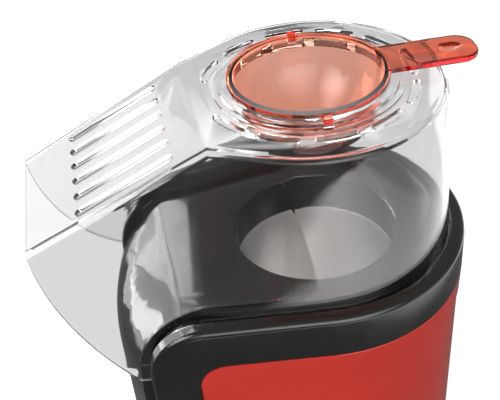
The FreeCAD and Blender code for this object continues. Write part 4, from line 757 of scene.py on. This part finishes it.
def place_piece(mesh: Mesh, name: str, body: Body, finish: Finish,
                nodes: tuple[str, ...]) -> None:
    """Add a finished mesh to the scene and to the frame.

    Args:
        mesh: Mesh in its place.
        name: Name of the piece.
        body: Body that it rides on.
        finish: Finish of the piece.
        nodes: Solids that the piece stands for.
    """
    mesh.materials.clear()
    mesh.materials.append(finish.material())
    piece = add_object(name, mesh)
    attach(piece, body.value)
    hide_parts(*nodes)
    LOG.info("piece %s rides on %s, %d faces", name, body.value, len(mesh.polygons))


def dress_nodes(finishes: dict[str, Finish]) -> None:
    """Give solids that stay in view their finish.

    Args:
        finishes: Finish by solid.
    """
    for node, finish in finishes.items():
        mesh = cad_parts[node].data
        mesh.materials.clear()
        mesh.materials.append(finish.material())
        LOG.info("solid %s in %s", node, finish.name)


@dataclass
class ScrewSet:
    """Like screws with a cross recess, set by a Geometry Nodes tree on the places of one solid's screws.

    Attributes:
        node: Name of the solid that holds the screws.
        top_radius: Radius of the head's outer face.
        head_radius: Radius of the head at its seat.
        head_height: Height of the head.
        shank_radius: Radius of the shank.
        recess_span: Length of the recess's arms from tip to tip.
        recess_width: Width of the arms.
        recess_depth: Depth of the arms.
        crease: Angle in degrees above which an edge stays sharp.
        seed: Seed of the turns of the heads.
    """

    node: str
    top_radius: float = 2.33 * MM
    head_radius: float = 3.0 * MM
    head_height: float = 2.0 * MM
    shank_radius: float = 1.5 * MM
    recess_span: float = 3.2 * MM
    recess_width: float = 0.75 * MM
    recess_depth: float = 1.1 * MM
    crease: float = 30.0
    seed: int = 7

    def build(self) -> None:
        """Put screws in place of the solid's."""
        places, length, head_up = self.places()
        points = bpy.data.meshes.new(f"{self.node}_places")
        points.from_pydata(places, [], [])
        holder = add_object(f"{self.node}_places", points)
        values = {
            "Top Radius": self.top_radius, "Head Radius": self.head_radius, "Head Height": self.head_height,
            "Shank Radius": self.shank_radius, "Shank Length": length - self.head_height,
            "Recess Span": self.recess_span, "Recess Width": self.recess_width,
            "Recess Depth": self.recess_depth, "Tilt": math.pi if head_up else 0.0, "Seed": self.seed,
        }
        tree = self.tree(values)
        modifier = holder.modifiers.new("screws", "NODES")
        modifier.node_group = tree
        for item in tree.interface.items_tree:
            if item.in_out == "INPUT" and item.name in values:
                modifier[item.identifier] = values[item.name]
        mesh = bpy.data.meshes.new_from_object(holder.evaluated_get(bpy.context.evaluated_depsgraph_get()))
        bpy.data.objects.remove(holder)
        bpy.data.meshes.remove(points)
        mesh.name = f"cross_{self.node}"
        even_shading(mesh, self.crease)
        place_piece(mesh, mesh.name, Body.FIXED, ZINC, (self.node,))

    def places(self) -> tuple[list[Point], float, bool]:
        """Read where the solid's screws stand.

        Returns:
            Middle of each head's outer face, the screws' full length and whether the heads look up.
        """
        work = bmesh.new()
        work.from_mesh(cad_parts[self.node].data)
        bmesh.ops.remove_doubles(work, verts=work.verts, dist=WELD)
        rest = dict.fromkeys(work.verts)
        places, length, head_up = [], 0.0, False
        while rest:
            screw, reached = [], [rest.popitem()[0]]
            while reached:
                corner = reached.pop()
                screw.append(corner.co.copy())
                for near in (edge.other_vert(corner) for edge in corner.link_edges):
                    if near in rest:
                        del rest[near]
                        reached.append(near)
            low, high = (pick(spot.z for spot in screw) for pick in (min, max))
            top = [spot for spot in screw if spot.z > high - TOP_SLACK]
            middle = sum(top, Vector()) / len(top)
            head_up = (top[0] - middle).length > self.shank_radius * WIDER
            length = high - low
            seat = (middle.x, middle.y, high if head_up else low)
            places.append(tuple(round(value, PLACE_DIGITS) for value in seat))
        work.free()
        return sorted(places), length, head_up

    @staticmethod
    def tree(values: dict[str, float]) -> Tree:
        """Geometry Nodes tree that sets a screw on every point, built once.

        Args:
            values: Inputs by name; a whole number makes a whole-number input.

        Returns:
            The tree.
        """
        known = bpy.data.node_groups.get("cross_screws")
        if known:
            return known
        tree = bpy.data.node_groups.new("cross_screws", "GeometryNodeTree")
        tree.interface.new_socket("Geometry", in_out="INPUT", socket_type="NodeSocketGeometry")
        for title, value in values.items():
            kind = "NodeSocketInt" if isinstance(value, int) else "NodeSocketFloat"
            tree.interface.new_socket(title, in_out="INPUT", socket_type=kind)
        tree.interface.new_socket("Geometry", in_out="OUTPUT", socket_type="NodeSocketGeometry")
        graph = Graph(tree)
        entry = graph.add("NodeGroupInput").outputs
        head = graph.add("GeometryNodeMeshCone", {
            "Vertices": HEAD_SIDES, "Radius Bottom": entry["Top Radius"],
            "Radius Top": entry["Head Radius"], "Depth": entry["Head Height"]})
        shank = graph.add("GeometryNodeMeshCylinder", {
            "Vertices": SHANK_SIDES, "Radius": entry["Shank Radius"], "Depth": entry["Shank Length"]})
        middle = graph.math("ADD", entry["Head Height"], graph.math("MULTIPLY", entry["Shank Length"], 0.5))
        set_in = graph.add("GeometryNodeTransform", {
            "Geometry": shank.outputs["Mesh"], "Translation": graph.vector(0.0, 0.0, middle)})
        long, wide = entry["Recess Span"], entry["Recess Width"]
        deep = graph.math("MULTIPLY", entry["Recess Depth"], 2.0)
        cut = graph.add("GeometryNodeMeshBoolean", {"Mesh 1": head.outputs["Mesh"]}, operation="DIFFERENCE")
        for sides in ((long, wide, deep), (wide, long, deep)):
            arm = graph.add("GeometryNodeMeshCube", {"Size": graph.vector(*sides)})
            graph.join(arm.outputs["Mesh"], cut.inputs["Mesh 2"])
        whole = graph.add("GeometryNodeJoinGeometry")
        for part in (cut, set_in):
            graph.join(part.outputs[0], whole.inputs[0])
        turns = graph.add("FunctionNodeRandomValue", {
            "Max": math.pi / 2, "Seed": entry["Seed"]}, data_type="FLOAT")
        value = [item for item in turns.outputs if item.type == "VALUE" and item.enabled][0]
        turned = graph.add("FunctionNodeEulerToRotation", {0: graph.vector(entry["Tilt"], 0.0, value)})
        spread = graph.add("GeometryNodeInstanceOnPoints", {
            "Points": entry["Geometry"], "Instance": whole.outputs[0], "Rotation": turned.outputs[0]})
        real = graph.add("GeometryNodeRealizeInstances", {0: spread.outputs[0]})
        dressed = graph.add("GeometryNodeSetMaterial", {0: real.outputs[0], "Material": ZINC.material()})
        graph.add("NodeGroupOutput", {0: dressed.outputs[0]})
        return tree


@dataclass
class ClearHood:
    """Clear cover with its chute.

    Attributes:
        edge_break: Width of its broken edges.
        alike: Angle in degrees below which ripples are evened out.
        round_from: Place along X from which its wall is round.
        wall: Greatest thickness of its wall.
    """

    edge_break: float = 0.4 * MM
    alike: float = 9.0
    round_from: float = 6.0 * MM
    wall: float = 4.0 * MM

    def build(self) -> None:
        """Make the hood from its solid."""
        Casting("clear_cover", "clear_hood", Body.COVER, "clear_plastic", CLEAR, self.edge_break,
                alike=self.alike, round_from=self.round_from, wall=self.wall).build()


@dataclass
class MeasuringCup:
    """Amber cup that hangs in the hood.

    Attributes:
        edge_break: Width of its broken edges.
        wall: Greatest thickness of its wall.
    """

    edge_break: float = 0.35 * MM
    wall: float = 3.0 * MM

    def build(self) -> None:
        """Make the cup from its solid."""
        Casting("measuring_cup", "amber_cup", Body.CUP, "amber_plastic", AMBER, self.edge_break,
                round_from=ALL_ROUND, wall=self.wall).build()


@dataclass
class Casing:
    """Black top housing, red shell and base.

    Attributes:
        edge_break: Width of broken edges.
        step_break: Width of broken edges of the shell, whose shoulder step is narrow.
        step_room: Least width of the shell's faces beside a broken edge, as a multiple of the break.
        round_from: Place along X from which the walls are round.
    """

    edge_break: float = 0.4 * MM
    step_break: float = 0.5 * MM
    step_room: float = 1.25
    round_from: float = 12.0 * MM

    def build(self) -> None:
        """Make the housing, the shell and the base from their solids."""
        Casting("top_housing", "black_housing", Body.FIXED, "black_gloss", BLACK_GLOSS, self.edge_break,
                round_from=self.round_from).build()
        Casting("outer_shell", "red_shell", Body.FIXED, "red_gloss", RED_GLOSS, self.step_break,
                round_from=self.round_from, room=self.step_room, outer_only=True).build()
        Casting("base_plate", "grained_base", Body.FIXED, "black_matt", BLACK_MATT, self.edge_break,
                round_from=self.round_from).build()
        for end in ("front", "rear"):
            for side in ("left", "right"):
                node = f"foot_{end}_{side}"
                Casting(node, f"rubber_{node}", Body.FIXED, "foot_rubber", RUBBER, self.edge_break).build()
        ScrewSet("base_screws").build()


@dataclass
class RearPanel:
    """Switch and cord bush in the rear wall.

    Attributes:
        edge_break: Width of broken edges.
    """

    edge_break: float = 0.3 * MM

    def build(self) -> None:
        """Make the switch case, its rocker and the bush."""
        Casting("switch_body", "switch_case", Body.FIXED, "black_matt", BLACK_MATT, self.edge_break).build()
        Casting("rocker_button", "rocker", Body.ROCKER, "black_gloss", BLACK_GLOSS, self.edge_break).build()
        Casting("cord_gland", "cord_bush", Body.FIXED, "black_matt", BLACK_MATT, self.edge_break).build()


@dataclass
class HotAirUnit:
    """Chamber, heater and their fastenings.

    Attributes:
        edge_break: Width of broken edges of the sheet-metal pan.
    """

    edge_break: float = 0.2 * MM

    def build(self) -> None:
        """Make the chamber, dress the heater and set the screws."""
        for node in ("chamber_screws", "shroud_screws"):
            ScrewSet(node).build()
        Casting("popping_chamber", "spun_chamber", Body.FIXED, "spun_aluminium", SPUN, self.edge_break,
                round_from=ALL_ROUND).build()
        dress_nodes({
            "chamber_gasket": FIBRE, "heater_shroud": SHEET, "heater_frame": MICA,
            "heater_coil": WIRE, "thermostat": PHENOLIC, "thermal_fuse": FUSE,
        })


@dataclass
class FanMotor:
    """Blower, motor and rectifier."""

    def build(self) -> None:
        """Dress the solids of the blower, the motor and the board, and set the screws."""
        for node in ("fan_housing_screws", "motor_screws"):
            ScrewSet(node).build()
        dress_nodes({
            "fan_housing": TAN, "fan_impeller": GREY, "fan_nut": ZINC, "motor_can": SHEET,
            "motor_end_cap": GREY, "motor_bushes": BRONZE, "motor_magnets": FERRITE, "motor_brushes": CARBON,
            "motor_shaft": GROUND, "armature": CORE, "armature_windings": COPPER, "commutator": COPPER,
            "rectifier_board": BOARD, "rectifier_diodes": DIODE,
        })


@dataclass(frozen=True)
class Lamp:
    """Flat soft light.

    Attributes:
        name: Name of the light.
        place: Where its middle stands.
        aim: Point that it faces.
        width: Level side.
        height: Other side.
        power: Power in watts.
        turn: Turn in its own plane, in degrees.
        behind_walls: How many times brighter it is in what is mirrored behind clear walls.
        soft: Whether it fades from its middle to a round edge.
        mirrored: Whether it only shows in mirror images and lights nothing.
    """

    name: str
    place: Point
    aim: Point
    width: float
    height: float
    power: float
    turn: float = 0.0
    behind_walls: float = 1.0
    soft: bool = False
    mirrored: bool = False

    def build(self) -> None:
        """Hang the light; it is felt and mirrored, but not seen by the camera."""
        light = bpy.data.lights.new(self.name, "AREA")
        light.shape = "RECTANGLE"
        light.size, light.size_y, light.energy = self.width, self.height, self.power
        light.use_nodes = True
        graph = Graph(light.node_tree)
        path = graph.add("ShaderNodeLightPath").outputs
        strength = graph.span(path["Transmission Depth"], TWO_PANES, 1.0, self.behind_walls)
        if self.mirrored:
            image = graph.math("GREATER_THAN", path["Glossy Depth"], AFTER_ONE)
            strength = graph.math("MULTIPLY", strength, image)
        if self.soft:
            spot = graph.add("ShaderNodeNewGeometry").outputs["Parametric"]
            across = graph.add("ShaderNodeVectorMath", {0: spot, 1: LAMP_MIDDLE}, operation="DISTANCE")
            fade = graph.span(across.outputs["Value"], SOFT_REACH, SOFT_PEAK, 0.0)
            strength = graph.math("MULTIPLY", strength, fade)
        glow = graph.add("ShaderNodeEmission", {"Strength": strength})
        graph.add("ShaderNodeOutputLight", {"Surface": glow.outputs[0]})
        lamp = add_object(self.name, light)
        way = Vector(self.aim) - Vector(self.place)
        facing = way.to_track_quat("-Z", "Y").to_matrix().to_4x4()
        turned = Matrix.Rotation(math.radians(self.turn), 4, "Z")
        lamp.matrix_world = Matrix.Translation(self.place) @ facing @ turned
        lamp.visible_camera = False
        LOG.info("light %s of %.0f W", self.name, self.power)


LAMPS = (
    Lamp("rear_panel", (-1.0, 1.2, 1.05), (-1.0, 0.0, 1.05), 1.6, 1.1, 8.3, turn=-40.6, behind_walls=3.6),
    Lamp("left_panel", (-1.95, 1.2, 0.46), (-1.95, 0.0, 0.46), 3.2, 2.6, 76.0, soft=True),
    Lamp("lid_panel", (0.2, 1.2, 1.22), (0.2, 0.0, 1.22), 1.0, 0.5, 3.3, behind_walls=0.0, soft=True,
         mirrored=True),
    Lamp("high_left_box", (-1.1, -0.45, 1.1), (AXIS_X, 0.0, 0.15), 1.5, 1.5, 15.5, soft=True),
    Lamp("front_box", (0.2, -1.3, 0.75), (AXIS_X, 0.0, 0.12), 2.2, 2.2, 15.5, soft=True),
)


@dataclass(frozen=True)
class LitPatch:
    """Part of the floor that is bright in reflections.

    Attributes:
        edges: Straight edges, each with the direction in degrees that points into the patch
            and the distance of the edge from the middle in that direction.
        shine: Brightness of the patch.
    """

    edges: tuple[tuple[float, float], ...]
    shine: float

    def strength(self, graph: Graph, place: dict, soft: float) -> Socket:
        """Brightness that the patch gives to a place on the floor.

        Args:
            graph: Graph of the floor's material.
            place: Sockets of the place on the floor, by axis.
            soft: Half width of the soft edges.

        Returns:
            The brightness's socket.
        """
        strength = None
        for turn, edge in self.edges:
            way = math.radians(turn)
            along = graph.math("ADD", graph.math("MULTIPLY", place["X"], math.cos(way)),
                               graph.math("MULTIPLY", place["Y"], math.sin(way)))
            inside = graph.span(along, (edge - soft, edge + soft), 0.0, 1.0 if strength else self.shine)
            strength = graph.math("MULTIPLY", strength, inside) if strength else inside
        return strength


PATCHES = (
    LitPatch(((62.0, -0.43), (0.0, -0.12)), 2.9),
    LitPatch(((180.0, 0.4), (90.0, 0.2)), 1.9),
)


@dataclass
class Studio:
    """Pale floor, soft lights and the camera.

    Attributes:
        floor_size: Side of the square floor.
        floor_paper: Share of light that the floor gives back.
        floor_glow: Brightness that the floor adds in sight.
        floor_through: Brightness that it has behind clear walls.
        floor_shade: Brightness of its unlit part in reflections.
        shine_fade: Where the lit parts begin and end to fade towards the right.
        shine_least: Share of the shine left where it has faded.
        stand_radius: Radius of the unlit part round the object.
        edge_softness: Half width of the lit part's soft edges.
        sky: Brightness of the surroundings.
        eye: Place of the camera.
        azimuth: Turn of the camera about the upright axis, in degrees.
        elevation: Angle of the camera above the level, in degrees.
        roll: Tilt of the camera about its own axis, in degrees.
        lens: Focal length in millimetres.
        sensor: Width of the picture behind the lens in millimetres.
        nearest: Distance from which the camera sees.
    """

    floor_size: float = 6.0
    floor_paper: float = 0.35
    floor_glow: float = 0.86
    floor_through: float = 0.8
    floor_shade: float = 0.12
    shine_fade: tuple[float, float] = (0.1, 0.45)
    shine_least: float = 0.35
    stand_radius: float = 0.34
    edge_softness: float = 0.02
    sky: float = 0.25
    eye: Point = (-59.05 * MM, -383.2 * MM, 516.9 * MM)
    azimuth: float = -8.327
    elevation: float = 37.498
    roll: float = -5.579
    lens: float = 63.64
    sensor: float = 36.0
    nearest: float = 0.02

    def build(self) -> None:
        """Set up the floor, the lights and the camera."""
        self.floor()
        self.surroundings()
        for lamp in LAMPS:
            lamp.build()
        self.camera()

    def floor(self) -> None:
        """Pale floor that stays bright in sight and has a lit part in reflections."""
        half = self.floor_size / 2
        mesh = bpy.data.meshes.new("studio_floor")
        corners = [(-half, -half, 0), (half, -half, 0), (half, half, 0), (-half, half, 0)]
        mesh.from_pydata(corners, [], [(0, 1, 2, 3)])
        material = bpy.data.materials.new("studio_floor_paper")
        material.use_nodes = True
        graph = Graph(material.node_tree)
        path = graph.add("ShaderNodeLightPath").outputs
        unseen = graph.math("SUBTRACT", 1.0, path["Is Diffuse Ray"])
        paper = graph.add("ShaderNodeBsdfDiffuse", {"Color": (*[self.floor_paper] * 3, 1.0)})
        glow = graph.add("ShaderNodeEmission", {
            "Color": WHITE, "Strength": graph.math("MULTIPLY", unseen, self.floor_glow)})
        surface = graph.add("ShaderNodeAddShader", {0: paper.outputs[0], 1: glow.outputs[0]})
        shine = self.shine_map(graph)
        for count, strength in (("Transmission Depth", self.floor_through), ("Glossy Depth", shine)):
            share = graph.math("MULTIPLY", graph.math("GREATER_THAN", path[count], AFTER_ONE), unseen)
            other = graph.add("ShaderNodeEmission", {"Color": WHITE, "Strength": strength})
            surface = graph.add("ShaderNodeMixShader", {0: share, 1: surface.outputs[0], 2: other.outputs[0]})
        graph.add("ShaderNodeOutputMaterial", {"Surface": surface.outputs[0]})
        mesh.materials.append(material)
        floor = add_object("studio_floor", mesh)
        LOG.info("floor of %.1f m", self.floor_size)

    def shine_map(self, graph: Graph) -> Socket:
        """Brightness of the floor in reflections.

        Args:
            graph: Graph of the floor's material.

        Returns:
            The brightness's socket.
        """
        spot = graph.add("ShaderNodeTexCoord").outputs["Object"]
        place = graph.add("ShaderNodeSeparateXYZ", {0: spot}).outputs
        reach = graph.add("ShaderNodeVectorMath", {0: spot}, operation="LENGTH").outputs["Value"]
        soft = self.edge_softness
        apart = graph.span(reach, (self.stand_radius - soft, self.stand_radius + soft), 0.0, 1.0)
        fade = graph.span(place["X"], self.shine_fade, 1.0, self.shine_least)
        brightest = 0.0
        for patch in PATCHES:
            brightest = graph.math("MAXIMUM", patch.strength(graph, place, soft), brightest)
        lit = graph.math("MULTIPLY", graph.math("MULTIPLY", brightest, apart), fade)
        return graph.math("MAXIMUM", lit, self.floor_shade)

    def surroundings(self) -> None:
        """Even soft light from all round, and a plain picture response."""
        world = bpy.data.worlds.new("studio_surroundings")
        world.use_nodes = True
        graph = Graph(world.node_tree)
        sky = graph.add("ShaderNodeBackground", {"Color": WHITE, "Strength": self.sky})
        graph.add("ShaderNodeOutputWorld", {"Surface": sky.outputs[0]})
        bpy.context.scene.world = world
        bpy.context.scene.view_settings.view_transform = "Standard"

    def camera(self) -> None:
        """Camera that sees the object as the picture does."""
        turn, rise, roll = (math.radians(angle) for angle in (self.azimuth, self.elevation, self.roll))
        back = Vector((math.sin(turn) * math.cos(rise), -math.cos(turn) * math.cos(rise), math.sin(rise)))
        right = Vector((math.cos(turn), math.sin(turn), 0.0))
        up = back.cross(right)
        level = math.cos(roll) * right + math.sin(roll) * up
        upright = -math.sin(roll) * right + math.cos(roll) * up
        data = bpy.data.cameras.new("photo_camera")
        data.sensor_fit = "HORIZONTAL"
        data.sensor_width = self.sensor
        data.lens = self.lens
        data.clip_start = self.nearest
        camera = add_object("photo_camera", data)
        turned = Matrix((level, upright, back)).transposed().to_4x4()
        camera.matrix_world = Matrix.Translation(self.eye) @ turned
        bpy.context.scene.camera = camera


def main() -> None:
    """Build every sub-assembly in order, then the studio."""
    logging.basicConfig(level=logging.INFO, format="%(name)s: %(message)s")
    for assembly in (Casing(), HotAirUnit(), FanMotor(), RearPanel(), ClearHood(), MeasuringCup()):
        assembly.build()
        LOG.info("built %s", type(assembly).__name__)
    Studio().build()


if __name__ == "__main__":
    main()
